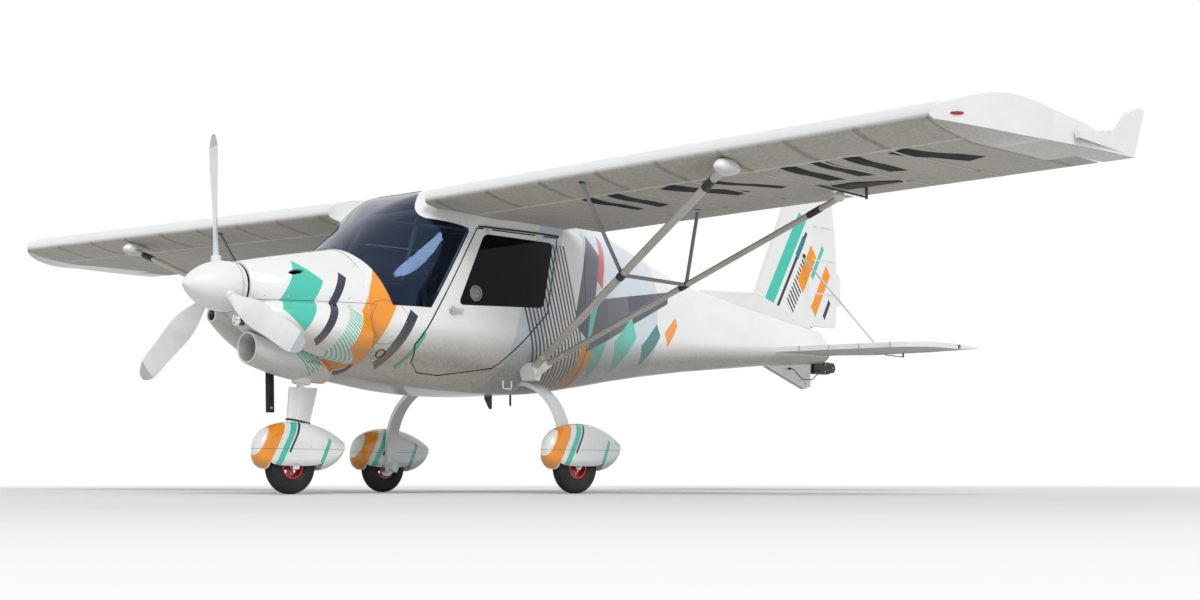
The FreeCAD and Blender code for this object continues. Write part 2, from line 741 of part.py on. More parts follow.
# ---- wing struts ---------------------------------------------------------------------------------
def strut_end(head):
    """Where a strut meets the wing's underside."""
    station, y = head
    share = (station - wing_le_station) / chord
    return wing_point(share, -0.062 if share < 0.5 else -0.052, y)


def make_struts():
    """The lift struts, the jury struts that steady them, and the fittings at both ends."""
    along_x = FreeCAD.Vector(1, 0, 0)
    wing = wing_prism(450, tip_start)
    # Rows: name, size, foot, head.
    rows = (
        ("front", front_strut, front_strut_foot, front_strut_head),
        ("rear", rear_strut, rear_strut_foot, rear_strut_head),
    )
    bars, struts, sleeves, feet, heads, joints = {}, [], [], {}, {}, {}
    for name, size, foot, head in rows:
        feet[name], heads[name] = at(*foot), strut_end(head)
        bars[name] = oval_bar(feet[name], heads[name], along_x, *size)
        grown_size = [a + 2 * seat_gap for a in size]
        sleeves.append(oval_bar(feet[name], heads[name], along_x, *grown_size))
        joints[name] = feet[name] + (heads[name] - feet[name]) * jury_share
        trimmed = max(bars[name].cut(wing).Solids, key=lambda s: s.Volume)
        struts += [trimmed, mirrored(trimmed)]
    save("lift_struts", *struts)
    solid_air = Part.makeCompound([wing] + sleeves)
    jury = []
    for name, size, foot, head in rows:
        y = joints[name].y + 10
        share = (head[0] - wing_le_station) / chord
        jury.append(rod(joints[name], wing_point(share, -0.030, y), jury_radius).cut(solid_air))
    jury.append(rod(joints["front"], joints["rear"], jury_radius).cut(solid_air))
    jury = [max(bar.Solids, key=lambda s: s.Volume) for bar in jury]
    save("jury_struts", *jury, *[mirrored(bar) for bar in jury])

    (s0, y0, z0), (s1, y1, z1) = front_strut_foot, rear_strut_foot
    outline = [
        (s0 - 12, z0 - 82), (s0 - 36, z0 - 8), (s0 - 8, z0 + 22), (s1 + 14, z1 + 20), (s1 + 30, z1 - 8), (s0 + 34, z0 - 52),
        (s0 + 20, z0 - 90),
    ]
    bracket = side_prism(outline, 520, y1 + 14)
    bracket = bracket.cut(cabin_envelope(seat_gap)).cut(Part.makeCompound(sleeves))
    bracket = max(bracket.Solids, key=lambda s: s.Volume)

    # The bullets over the strut heads: columns are name, length ahead, length behind, radius.
    pods = []
    for name, ahead, behind, radius in (("front", 74, 118, 46), ("rear", 52, 18, 30)):
        middle = heads[name] + FreeCAD.Vector(0, 0, 4)
        rings = [
            Part.Wire(Part.makeCircle(radius * share, middle + along_x * offset, along_x))
            for offset, share in ((-ahead, 0.25), (-ahead * 0.55, 0.8), (0, 1.0), (behind, 0.35))
        ]
        pod = Part.makeLoft(rings, True, False, False, 3).cut(wing).cut(Part.makeCompound(sleeves))
        pods.append(max(pod.Solids, key=lambda s: s.Volume))
    fittings = [bracket] + pods
    save("strut_fittings", *fittings, *[mirrored(f) for f in fittings])


# ---- wheels --------------------------------------------------------------------------------------
def tyre(centre):
    """A tyre with rounded shoulders, turned about its axle."""
    half, inner = tyre_width / 2, rim_radius
    r = tyre_radius
    pts = [(-half * 0.62, inner), (-half, inner + 22), (-half, r - 34), (-half * 0.55, r - 4), (half * 0.55, r - 4), (half, r - 34), (half, inner + 22), (half * 0.62, inner)]
    p = [centre + FreeCAD.Vector(0, y, z) for y, z in pts]
    crown = centre + FreeCAD.Vector(0, 0, r)
    left = centre + FreeCAD.Vector(0, -half * 0.88, r - 15)
    right = centre + FreeCAD.Vector(0, half * 0.88, r - 15)
    wire = Part.Wire([
        Part.LineSegment(p[0], p[1]).toShape(),
        Part.LineSegment(p[1], p[2]).toShape(),
        Part.Arc(p[2], left, p[3]).toShape(),
        Part.Arc(p[3], crown, p[4]).toShape(),
        Part.Arc(p[4], right, p[5]).toShape(),
        Part.LineSegment(p[5], p[6]).toShape(),
        Part.LineSegment(p[6], p[7]).toShape(),
        Part.LineSegment(p[7], p[0]).toShape(),
    ])
    return Part.Face(wire).revolve(centre, Y_AXIS, 360)


def rim(centre):
    """A wheel rim: a ring, a web with four holes and a hub bored for the axle."""
    half = tyre_width * 0.31 - 0.5
    def tube(outer, inner, width):
        start = centre - Y_AXIS * (width / 2)
        return Part.makeCylinder(outer, width, start, Y_AXIS).cut(Part.makeCylinder(inner, width, start, Y_AXIS))
    ring = tube(rim_radius - seat_gap, rim_radius - 9, half * 2)
    hub = tube(26, axle_radius + running_gap, half * 2 + 16)
    web = tube(rim_radius - 8, 24, 8)
    for k in range(4):
        a = radians(45 + 90 * k)
        middle = centre + FreeCAD.Vector(46 * cos(a), -10, 46 * sin(a))
        web = web.cut(Part.makeCylinder(11, 20, middle, Y_AXIS))
    return ring.fuse([web, hub])


# Spat sections about the wheel's station: offset aft, then height and half width as in CABIN.
SPAT = [
    (-262, 222, 8, 236, 22, 262, 22, 276, 8),
    (-225, 160, 30, 195, 56, 310, 56, 352, 28),
    (-110, 142, 46, 180, 71, 350, 70, 408, 36),
    (60, 138, 46, 180, 72, 355, 70, 420, 36),
    (210, 140, 36, 185, 64, 325, 60, 392, 28),
    (400, 262, 5, 270, 12, 290, 12, 300, 5),
]


def spat(station, y):
    """A hollow teardrop wheel fairing, open below for the wheel."""
    rows = shift_rows(SPAT, station)
    outer = body(rows, 0, (y, 0))
    inner = body(shift_rows(SPAT[1:5], station), -spat_wall, (y, 0))
    mouth = box((station - tyre_radius - 22, y - 62, 60), (station + tyre_radius + 30, y + 62, 200))
    return outer.cut(inner).cut(mouth)


def make_main_gear():
    """Sprung main legs curving down to their axles, with brakes, spats and free wheels."""
    trim = cabin_envelope(seat_gap)
    leg_y = main_wheel_y - spat_half_width - seat_gap - leg_thickness / 2
    radius = leg_y - leg_bend_y
    centre = at(main_wheel_station, leg_bend_y, leg_bend_z)
    axle_z = tyre_radius
    x0 = at(main_wheel_station - leg_chord / 2, 0, 0).x

    def on_arc(r, angle):
        return FreeCAD.Vector(x0, leg_bend_y + r * cos(radians(angle)), leg_bend_z + r * sin(radians(angle)))

    r_in, r_out = radius - leg_thickness / 2, radius + leg_thickness / 2
    foot = axle_z - 34
    a = FreeCAD.Vector(x0, leg_bend_y + r_out, foot)
    b = FreeCAD.Vector(x0, leg_bend_y + r_in, foot)
    wire = Part.Wire([
        Part.Arc(on_arc(r_out, 98), on_arc(r_out, 45), on_arc(r_out, 0)).toShape(),
        Part.LineSegment(on_arc(r_out, 0), a).toShape(),
        Part.LineSegment(a, b).toShape(),
        Part.LineSegment(b, on_arc(r_in, 0)).toShape(),
        Part.Arc(on_arc(r_in, 0), on_arc(r_in, 45), on_arc(r_in, 98)).toShape(),
        Part.LineSegment(on_arc(r_in, 98), on_arc(r_out, 98)).toShape(),
    ])
    leg = Part.Face(wire).extrude(FreeCAD.Vector(leg_chord, 0, 0)).cut(trim)
    leg = max(leg.Solids, key=lambda s: s.Volume)
    axle_end = main_wheel_y + axle_reach
    axle = rod(at(main_wheel_station, leg_y, axle_z), at(main_wheel_station, axle_end, axle_z), axle_radius)
    boss = rod(at(main_wheel_station, leg_y - 42, axle_z), at(main_wheel_station, leg_y, axle_z), 30)
    leg = leg.fuse([axle, boss])
    save("main_legs", leg, mirrored(leg))
    cover = spat(main_wheel_station, main_wheel_y)
    cover = cover.cut(rod(at(main_wheel_station, leg_y, axle_z), at(main_wheel_station, main_wheel_y, axle_z), axle_radius + seat_gap))
    save("main_spats", cover, mirrored(cover))
    hub = at(main_wheel_station, main_wheel_y, axle_z)
    for name, flip in (("right", lambda s: s), ("left", mirrored)):
        save(f"main_tyre_{name}", flip(tyre(hub)))
        save(f"main_rim_{name}", flip(rim(hub)))
    return centre


def make_nose_gear():
    """The steered nose leg with its fairing and fork, its spat and its free wheel."""
    low, up = steering_line()
    axle = at(nose_wheel_station, 0, tyre_radius)
    stem = Part.makeCylinder(nose_stem_radius, 372, low, up)
    crown_z = 2 * tyre_radius + moving_gap + 12
    lean = (steering_axis_top[0] - steering_axis_low[0]) / (steering_axis_top[1] - steering_axis_low[1])

    def axis_station(z):
        return steering_axis_low[0] + (z - steering_axis_low[1]) * lean

    def leg_fairing(grow, bottom, top):
        # A streamlined bar, from its offsets fore and aft of the axis at each end.
        wires = []
        half = nose_fairing_half + grow
        for z, fore, aft in ((bottom, 61, 102), (top, 79, 127)):
            s = axis_station(z)
            f, r = s - fore - grow, s + aft + grow
            wires.append(Part.Wire([
                Part.Arc(at(f + half, -half, z), at(f, 0, z), at(f + half, half, z)).toShape(),
                Part.LineSegment(at(f + half, half, z), at(s + 20, half, z)).toShape(),
                Part.LineSegment(at(s + 20, half, z), at(r, 3 + grow, z)).toShape(),
                Part.LineSegment(at(r, 3 + grow, z), at(r, -3 - grow, z)).toShape(),
                Part.LineSegment(at(r, -3 - grow, z), at(s + 20, -half, z)).toShape(),
                Part.LineSegment(at(s + 20, -half, z), at(f + half, -half, z)).toShape(),
            ]))
        return Part.makeLoft(wires, True, True)

    fairing = leg_fairing(0, nose_fairing_bottom, nose_fairing_top)
    blade_y = tyre_width / 2 + moving_gap
    front, back = axis_station(crown_z) - 26, axis_station(crown_z) + 26
    outer_y = blade_y + fork_thickness
    fork = [box((front, -outer_y, crown_z), (back, outer_y, crown_z + 26))]
    for side in (-1, 1):
        y0, y1 = sorted((side * blade_y, side * outer_y))
        fork.append(side_prism([
            (front, crown_z + 20), (back, crown_z + 20),
            (nose_wheel_station + 22, tyre_radius - 20), (nose_wheel_station - 22, tyre_radius - 20),
        ], y0, y1))
    # Above the spat's mouth the fork stays clear of the spat's walls.
    spat_inside = body(shift_rows(SPAT[1:5], nose_wheel_station), -spat_wall - 2)
    below = box((nose_wheel_station - 200, -200, 60), (nose_wheel_station + 200, 200, 198))
    parts = [fairing] + [bar.common(spat_inside.fuse(below)) for bar in fork]
    reach = blade_y + fork_thickness + 3
    parts.append(rod(axle - Y_AXIS * reach, axle + Y_AXIS * reach, axle_radius))
    leg = stem.fuse(parts)
    wheel_space = Part.makeCylinder(tyre_radius + moving_gap, tyre_width + 2 * moving_gap, axle - Y_AXIS * (tyre_width / 2 + moving_gap), Y_AXIS)
    core = rod(axle - Y_AXIS * reach, axle + Y_AXIS * reach, axle_radius)
    leg = leg.cut(wheel_space).fuse(core)
    for side in (-1, 1):
        tip = axle + Y_AXIS * (side * reach)
        leg = leg.cut(rod(tip - Y_AXIS * (side * tow_bar_depth), tip + Y_AXIS * (side * 5), tow_bar_bore))
    save("nose_leg", leg)
    cover = spat(nose_wheel_station, 0)
    cover = cover.cut(leg_fairing(seat_gap + 1, nose_fairing_bottom - 20, nose_fairing_top))
    cover = cover.cut(Part.makeCylinder(nose_stem_radius + 1, 372, low, up))
    ports = rod(axle - Y_AXIS * 90, axle + Y_AXIS * 90, tow_bar_bore + 9)
    cover = cover.cut(ports)
    save("nose_spat", max(cover.Solids, key=lambda s: s.Volume))
    save("nose_tyre", tyre(axle))
    save("nose_rim", rim(axle))


# ---- tail surfaces -------------------------------------------------------------------------------
def flat_panel(points, middle, thickness):
    """A horizontal panel of stations and y, of even thickness about a height."""
    return plan_prism(points, middle - thickness / 2, middle + thickness / 2)


def make_tailplane():
    """Stabilisers, the one-piece elevator on its torque tube, their hinge plates and the upper braces."""
    rear = elevator_axis - elevator_nose_radius - moving_gap
    grown = tail_envelope(seat_gap)
    outline = [
        (5165, 60), (5310, 1090), (5352, 1190), (5450, stabiliser_half_span - 20), (5500, stabiliser_half_span),
        (rear, stabiliser_half_span), (rear, 60),
    ]
    panel = flat_panel(outline, tail_height, stabiliser_thickness)
    nose = rod(at(5165 + 18, 60, tail_height), at(5310 + 18, 1090, tail_height), stabiliser_thickness / 2)
    panel = panel.fuse(nose).cut(grown)
    panel = max(panel.Solids, key=lambda s: s.Volume)
    save("stabilisers", panel, mirrored(panel))

    half = stabiliser_half_span
    te = overall_length
    r = elevator_nose_radius
    wires = []
    y0, y1 = elevator_inboard, half - moving_gap - hinge_plate
    # Columns: y, trailing-edge station.
    for y, tail in ((y0, te - 170), (y0 + 130, te), (half - 500, te - 4), (y1, te - 88)):
        wires.append(Part.Wire([
            Part.Arc(at(elevator_axis, y, tail_height + r), at(elevator_axis - r, y, tail_height), at(elevator_axis, y, tail_height - r)).toShape(),
            Part.LineSegment(at(elevator_axis, y, tail_height - r), at(tail, y, tail_height - 3)).toShape(),
            Part.LineSegment(at(tail, y, tail_height - 3), at(tail, y, tail_height + 3)).toShape(),
            Part.LineSegment(at(tail, y, tail_height + 3), at(elevator_axis, y, tail_height + r)).toShape(),
        ]))
    flap = Part.makeLoft(wires, True, True)
    pin = rod(at(elevator_axis, y1 - 1, tail_height), at(elevator_axis, half - 0.5, tail_height), hinge_pin_radius)
    tube = rod(at(elevator_axis, -y0 - 1, tail_height), at(elevator_axis, y0 + 1, tail_height), torque_tube_radius)
    save("elevator", flap.fuse([mirrored(flap), pin, mirrored(pin), tube]))

    plates = []
    for y, bore in ((half - hinge_plate / 2 - 0.0, hinge_pin_radius), (elevator_inboard - moving_gap - 6, torque_tube_radius)):
        t = hinge_plate
        eye_r = bore + 9
        plate = box((rear + seat_gap, y - t / 2, tail_height - 12), (elevator_axis, y + t / 2, tail_height + 12))
        eye = rod(at(elevator_axis, y - t / 2, tail_height), at(elevator_axis, y + t / 2, tail_height), eye_r)
        hole = rod(at(elevator_axis, y - t, tail_height), at(elevator_axis, y + t, tail_height), bore + running_gap)
        plates.append(plate.fuse(eye).cut(hole))
    plates += [mirrored(p) for p in plates]

    fin_side = fin_thickness / 2 + seat_gap
    panel_top = tail_height + stabiliser_thickness / 2 + seat_gap
    brace = rod(at(5704, 0, 1795), at(5399, 890, panel_top - 7), brace_radius)
    brace = brace.common(box((5200, fin_side, panel_top), (5900, 1200, 2000)))
    brace = max(brace.Solids, key=lambda s: s.Volume)
    save("tail_braces", brace, mirrored(brace))
    return plates


def make_fin(elevator_plates):
    """The fin on its ridge, the rudder hinged behind it with its fixed trim tab, and all the tail's hinge plates."""
    t = fin_thickness
    rear = rudder_axis - rudder_nose_radius - moving_gap
    top = overall_height
    outline = [
        (5112, 1470 + seat_gap), (5500, 2210), (5560, 2300), (5650, top), (rear, top - 12),
        (rear, 1262 + seat_gap),
    ]
    plate = side_prism(outline, -t / 2, t / 2)
    save("fin", plate)

    r = rudder_nose_radius
    # Columns: height, trailing-edge station.
    wires = []
    for z, tail in ((rudder_foot, 6120), (1430, 6142), (1850, 6138), (2270, 6088), (top - 16, 5960)):
        wires.append(Part.Wire([
            Part.Arc(at(rudder_axis, r, z), at(rudder_axis - r, 0, z), at(rudder_axis, -r, z)).toShape(),
            Part.LineSegment(at(rudder_axis, -r, z), at(tail, -3, z)).toShape(),
            Part.LineSegment(at(tail, -3, z), at(tail, 3, z)).toShape(),
            Part.LineSegment(at(tail, 3, z), at(rudder_axis, r, z)).toShape(),
        ]))
    rudder = Part.makeLoft(wires, True, True)
    tab = side_prism([(6130, 1440), (6130, 1700), (6176, 1690), (overall_length - 4, 1640), (overall_length - 4, 1440)], -2, 2)
    pins = rod(at(rudder_axis, 0, rudder_foot - 14), at(rudder_axis, 0, top - 4), hinge_pin_radius)
    save("rudder", rudder.fuse([tab, pins]))

    plates = []
    for z0, z1 in ((rudder_foot - moving_gap - hinge_plate, rudder_foot - moving_gap), (top - 16 + moving_gap - 2, top - 4)):
        plate = box((rear + seat_gap, -10, z0), (rudder_axis, 10, z1))
        eye = rod(at(rudder_axis, 0, z0), at(rudder_axis, 0, z1), 14)
        hole = rod(at(rudder_axis, 0, z0 - 5), at(rudder_axis, 0, z1 + 5), hinge_pin_radius + running_gap)
        plates.append(plate.fuse(eye).cut(hole))
    save("tail_hinges", *elevator_plates, *plates)


# ---- small outside pieces --------------------------------------------------------------------------
def make_small_parts():
    """The tow release on the tail, and the aerials under the belly."""
    frame = box((tail_end - 104, -hook_half, 894), (tail_end + 92, hook_half, 986))
    arm = box((tail_end + 60, -hook_half + 4, 912), (tail_end + 134, hook_half - 4, 978))
    drum = rod(at(tail_end + 132, -hook_half + 4, 945), at(tail_end + 132, hook_half - 4, 945), 40)
    mouth = rod(at(tail_end + 142, -11, 930), at(tail_end + 142, 11, 930), 58)
    hook = frame.fuse([arm, drum]).cut(mouth).cut(tail_envelope(seat_gap))
    save("tow_release", max(hook.Solids, key=lambda s: s.Volume))
    side = -hook_half - seat_gap
    cable = bent_rod([
        at(5483, -20 - seat_gap, 918), at(5483, -cable_y, 918), at(5598, -cable_y, 838), at(5715, -cable_y, 842),
        at(5838, -cable_y, 918), at(5838, side, 918),
    ], cable_radius, cable_bend)
    save("release_cable", cable)
    loops = []
    for y in (-tie_loop_y, tie_loop_y):
        half, low, high = 36, 640, 720
        loop = bent_rod([
            at(tie_loop_station - half, y, high), at(tie_loop_station - half, y, low),
            at(tie_loop_station + half, y, low), at(tie_loop_station + half, y, high),
        ], tie_loop_radius, 14)
        loop = loop.cut(cabin_envelope(seat_gap))
        loops.append(min(loop.Solids, key=lambda s: s.CenterOfMass.z))
    save("tie_down_loops", *loops)
    grown = cabin_envelope(seat_gap)
    blade = side_prism([(2330, 700), (2330, 600), (2372, 535), (2392, 535), (2392, 700)], -4, 4).cut(grown)
    whip = rod(at(2560, 0, 560), at(2560, 0, 700), 7).cut(grown)
    parts = [min(b.Solids, key=lambda s: s.CenterOfMass.z) for b in (blade, whip)]
    save("belly_aerials", *parts)


# ---- cabin inside --------------------------------------------------------------------------------
def make_interior():
    """What shows through the glass: panel, seats and their base, stick and the overhead tubes."""
    lining = cabin_envelope(-cabin_wall - seat_gap, firewall_station + firewall_thickness + seat_gap, bulkhead_station - bulkhead_thickness - seat_gap)
    panel = lining.common(box((1318, -700, 985), (1346, 700, 1262)))
    save("instrument_panel", max(panel.Solids, key=lambda s: s.Volume))
    base = lining.common(box((1800, -450, 500), (2250, 450, 800)))
    save("seat_base", max(base.Solids, key=lambda s: s.Volume))
    seats = []
    for side in (-1, 1):
        y0, y1 = sorted((side * 45, side * 475))
        cushion = [(1740, 800.3), (1740, 892), (2150, 862), (2262, 1440), (2352, 1440), (2258, 800.3)]
        seats.append(side_prism(cushion, y0, y1, 0.12))
    save("seats", *seats)
    stick = rod(at(1640, 0, 620), at(1620, 0, 1010), 14)
    stick = stick.common(lining)
    grip = rod(at(1622, 0, 960), at(1614, 0, 1090), 20)
    save("control_stick", stick.fuse(grip))
    front, rear = front_strut_head[0], rear_strut_head[0]
    tubes = [
        rod(at(front + 70, -700, 1700), at(front + 70, 700, 1700), 24),
        rod(at(rear, -700, 1690), at(rear, 700, 1690), 24),
        rod(at(front + 70, -250, 1700), at(rear, -160, 1690), 17),
        rod(at(front + 70, 250, 1700), at(rear, 160, 1690), 17),
        rod(at(1332, -330, 1262 + seat_gap), at(front + 70, -250, 1700), 15),
        rod(at(1332, 330, 1262 + seat_gap), at(front + 70, 250, 1700), 15),
    ]
    frame = tubes[0].fuse(tubes[1:]).common(lining).cut(box((1300, -700, 900), (1400, 700, 1262 + seat_gap)))
    save("overhead_frame", max(frame.Solids, key=lambda s: s.Volume))


make_cabin()
make_tail()
make_cowling()
make_engine()
make_propeller()
make_wing()
make_struts()
make_main_gear()
make_nose_gear()
make_fin(make_tailplane())
make_small_parts()
make_interior()
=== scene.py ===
"""A two-seat, high-wing microlight aircraft, finished piece by piece around its solid model.

Frame: +X aft, +Y to the pilot's right, +Z up, in metres, with the ground at 0.
"""

from math import cos, pi, radians, sin

import bmesh
import bpy
from mathutils import Matrix, Vector
from mathutils.bvhtree import BVHTree


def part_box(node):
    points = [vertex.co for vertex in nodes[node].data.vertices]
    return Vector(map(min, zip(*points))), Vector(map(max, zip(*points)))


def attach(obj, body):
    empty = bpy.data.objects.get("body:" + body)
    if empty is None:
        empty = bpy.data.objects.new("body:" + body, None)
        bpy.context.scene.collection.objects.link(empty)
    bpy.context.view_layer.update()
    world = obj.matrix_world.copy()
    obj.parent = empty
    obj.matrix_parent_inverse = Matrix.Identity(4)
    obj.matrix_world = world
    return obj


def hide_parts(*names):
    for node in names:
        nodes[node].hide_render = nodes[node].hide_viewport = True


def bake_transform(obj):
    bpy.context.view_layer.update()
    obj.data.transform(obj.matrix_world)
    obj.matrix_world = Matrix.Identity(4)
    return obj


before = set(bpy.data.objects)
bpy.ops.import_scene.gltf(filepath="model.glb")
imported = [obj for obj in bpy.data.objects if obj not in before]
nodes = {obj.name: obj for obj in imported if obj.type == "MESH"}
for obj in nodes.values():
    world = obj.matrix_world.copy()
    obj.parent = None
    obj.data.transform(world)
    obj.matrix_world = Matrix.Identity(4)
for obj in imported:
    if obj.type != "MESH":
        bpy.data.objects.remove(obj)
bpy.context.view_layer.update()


# ---- camera, floor and studio light ----------------------------------------------------------------
# The aircraft is seen from ahead and to the left, from just above the floor. A wide pale floor fades
# into a white surround, and one broad lamp with an even sky lights it from the left front.

def aimed(data, name, place, target):
    """A lamp or camera at a place, looking at a target."""
    made = bpy.data.objects.new(name, data)
    bpy.context.scene.collection.objects.link(made)
    made.location = place
    made.rotation_euler = (Vector(target) - Vector(place)).to_track_quat("-Z", "Y").to_euler()
    return made


view_azimuth = radians(-137)
view_distance = 13.0
view_target = Vector((0.10, -0.20, 1.28))
camera_height = 0.10
camera_place = Vector((
    view_target.x + view_distance * cos(view_azimuth),
    view_target.y + view_distance * sin(view_azimuth),
    camera_height,
))
camera_data = bpy.data.cameras.new("camera")
camera_data.lens = 58.5
camera_data.clip_end = 300
camera = aimed(camera_data, "camera", camera_place, view_target)
bpy.context.scene.camera = camera
bpy.context.scene.view_settings.view_transform = "Standard"

key_data = bpy.data.lights.new("key_lamp", "SUN")
key_data.energy = 1.75
key_data.angle = radians(28)
key_data.color = (1.0, 0.975, 0.94)
aimed(key_data, "key_lamp", (-6, -9, 11), (0, 0, 1))


def add(tree, kind, inputs=None, **settings):
    """A shader node with its settings, and its inputs set to values or joined to sockets."""
    made = tree.nodes.new("ShaderNode" + kind)
    for key, value in settings.items():
        setattr(made, key, value)
    for key, value in (inputs or {}).items():
        if isinstance(value, bpy.types.NodeSocket):
            tree.links.new(value, made.inputs[key])
        else:
            made.inputs[key].default_value = value
    return made


def maths(operation):
    """A function that adds one kind of Math node to a tree, on numbers and sockets."""
    def result(tree, *values, clamp=False):
        inputs = dict(enumerate(values))
        return add(tree, "Math", inputs, operation=operation, use_clamp=clamp).outputs[0]
    return result


plus, minus, times, over, sine, cosine, absolute, fraction, larger, greater, less = map(maths, (
    "ADD", "SUBTRACT", "MULTIPLY", "DIVIDE", "SINE", "COSINE", "ABSOLUTE", "FRACT", "MAXIMUM",
    "GREATER_THAN", "LESS_THAN",
))


def vector_math(tree, operation, *values):
    """The outputs of a Vector Math node."""
    return add(tree, "VectorMath", dict(enumerate(values)), operation=operation).outputs


def coord(tree, kind="Object"):
    """A texture coordinate."""
    return add(tree, "TexCoord").outputs[kind]


def noise(tree, point, scale, detail, roughness=0.5):
    """The value of a noise texture."""
    inputs = {"Vector": point, "Scale": scale, "Detail": detail, "Roughness": roughness}
    return add(tree, "TexNoise", inputs).outputs["Fac"]


def ramp(tree, value, start, end, low=0.0, high=1.0, shape="LINEAR"):
    """A value carried from one range to another, and held at its ends."""
    inputs = {"Value": value, "From Min": start, "From Max": end, "To Min": low, "To Max": high}
    return add(tree, "MapRange", inputs, interpolation_type=shape).outputs[0]


def mix(tree, share, first, second):
    """Two colours mixed, with the second's share."""
    return add(tree, "Mix", {0: share, 6: first, 7: second}, data_type="RGBA").outputs[2]


def paths(tree):
    """1 for rays from the camera and for mirror and glass rays, which see the white surround."""
    ray = add(tree, "LightPath").outputs
    seen = larger(tree, ray["Is Camera Ray"], ray["Is Glossy Ray"])
    return larger(tree, seen, ray["Is Transmission Ray"])


sky = bpy.data.worlds.new("studio")
bpy.context.scene.world = sky
sky.use_nodes = True
sky_tree = sky.node_tree
sky_tree.nodes.clear()
even = add(sky_tree, "Background", {"Color": (0.90, 0.95, 1.0, 1), "Strength": 0.50})
white = add(sky_tree, "Background", {"Color": (1, 1, 1, 1), "Strength": 1.0})
both = add(sky_tree, "MixShader", {0: paths(sky_tree), 1: even.outputs[0], 2: white.outputs[0]})
add(sky_tree, "OutputWorld", {"Surface": both.outputs[0]})


def new_material(name):
    """A material with no shader yet, its tree, and its Object coordinates."""
    made = bpy.data.materials.new(name)
    made.use_nodes = True
    made.node_tree.nodes.clear()
    return made, made.node_tree, coord(made.node_tree)


floor_paint, tree, place = new_material("studio_floor")
fade = ramp(tree, vector_math(tree, "LENGTH", place)["Value"], 5.5, 13.0, shape="SMOOTHSTEP")
speck = noise(tree, place, 3.0, 5.0)
pale = mix(tree, speck, (0.80, 0.80, 0.80, 1), (0.86, 0.86, 0.86, 1))
matt = add(tree, "BsdfPrincipled", {"Base Color": pale, "Roughness": 0.75})
glow = add(tree, "Emission", {"Color": (1, 1, 1, 1), "Strength": 1.0})
reach = times(tree, fade, paths(tree))
blend = add(tree, "MixShader", {0: reach, 1: matt.outputs[0], 2: glow.outputs[0]})
add(tree, "OutputMaterial", {"Surface": blend.outputs[0]})

floor_mesh = bpy.data.meshes.new("studio_floor")
sheet = bmesh.new()
bmesh.ops.create_circle(sheet, cap_ends=True, radius=60, segments=64)
sheet.to_mesh(floor_mesh)
sheet.free()
floor_mesh.materials.append(floor_paint)
floor = bpy.data.objects.new("studio_floor", floor_mesh)
bpy.context.scene.collection.objects.link(floor)


# ---- cabin moulding --------------------------------------------------------------------------------
# A hollow glass-fibre moulding in white gloss gelcoat, laid up in a mould. Coloured bars are sprayed on
# over masking tape. The belly is painted darker: dusting thrown up by the wheels and the propeller, with painted
# shade.

SIDES = ((-1, "left"), (1, "right"))


def tint(code):
    """A colour as linear light, from its six-digit code."""
    parts = [int(code[i:i + 2], 16) / 255 for i in (0, 2, 4)]
    return tuple(p / 12.92 if p <= 0.04045 else ((p + 0.055) / 1.055) ** 2.4 for p in parts) + (1.0,)


SHELL_WHITE, TURQUOISE, ORANGE, YELLOW, NAVY, TEAL, RED, INK, MIST = map(
    tint, "F1F2F1 3FC9B4 FA9A17 F9C21E 172140 0E7C80 C81F2B 101114 D3DDE6".split()
)
# The colour the undersides darken to: partly dusting and partly painted shade.
belly_dust_and_shade = tint("7A6F5B")
lining_grey = tint("6E7073")


def effect(name, inputs, outputs):
    """A new shader node group: its tree, the sockets it is given and the node it gives out by.

    Sockets are named in order. They carry numbers, unless a colon and another kind follow.
    """
    tree = bpy.data.node_groups.new(name, "ShaderNodeTree")
    for in_out, labels in (("INPUT", inputs), ("OUTPUT", outputs)):
        for label in labels.split():
            label, _, kind = label.partition(":")
            tree.interface.new_socket(label, in_out=in_out, socket_type="NodeSocket" + (kind or "Float"))
    return tree, tree.nodes.new("NodeGroupInput").outputs, tree.nodes.new("NodeGroupOutput")


def give(tree, end, **sockets):
    """Join sockets to a group's outputs."""
    for label, socket in sockets.items():
        tree.links.new(socket, end.inputs[label])


def use(tree, group, inputs):
    """The outputs of a group placed in a material."""
    return add(tree, "Group", inputs, node_tree=group).outputs


def split(tree, vector):
    """A vector's three axes."""
    return add(tree, "SeparateXYZ", {0: vector}).outputs


# A masked bar on a side view: straight or slanted, tapered or not, solid or ruled into stripes.
t, given, end = effect("masked_bar", "Point:Vector X Z Turn Half_length Half_width Slant Taper Pitch", "Mask")
masked_bar = t
tape_edge = 0.0012
spot = split(t, given["Point"])
dx, dz = minus(t, spot["X"], given["X"]), minus(t, spot["Z"], given["Z"])
c, s = cosine(t, given["Turn"]), sine(t, given["Turn"])
u = plus(t, times(t, dx, c), times(t, dz, s))
v = minus(t, times(t, dz, c), times(t, dx, s))
u = minus(t, u, times(t, v, given["Slant"]))
share = plus(t, over(t, u, given["Half_length"]), 1.0)
narrow = times(t, times(t, share, 0.5), given["Taper"])
width = times(t, given["Half_width"], minus(t, 1.0, narrow))
over_v = over(t, minus(t, width, absolute(t, v)), tape_edge, clamp=True)
over_u = over(t, minus(t, given["Half_length"], absolute(t, u)), tape_edge, clamp=True)
wave = fraction(t, plus(t, over(t, u, given["Pitch"]), 0.5))
wave = minus(t, 0.25, absolute(t, minus(t, wave, 0.5)))
wave = over(t, times(t, wave, given["Pitch"]), tape_edge, clamp=True)
give(t, end, Mask=times(t, times(t, over_u, over_v), wave))


def stretched(tree, vector, scale):
    """A vector scaled along its axes."""
    return add(tree, "Mapping", {"Vector": vector, "Scale": scale}).outputs[0]
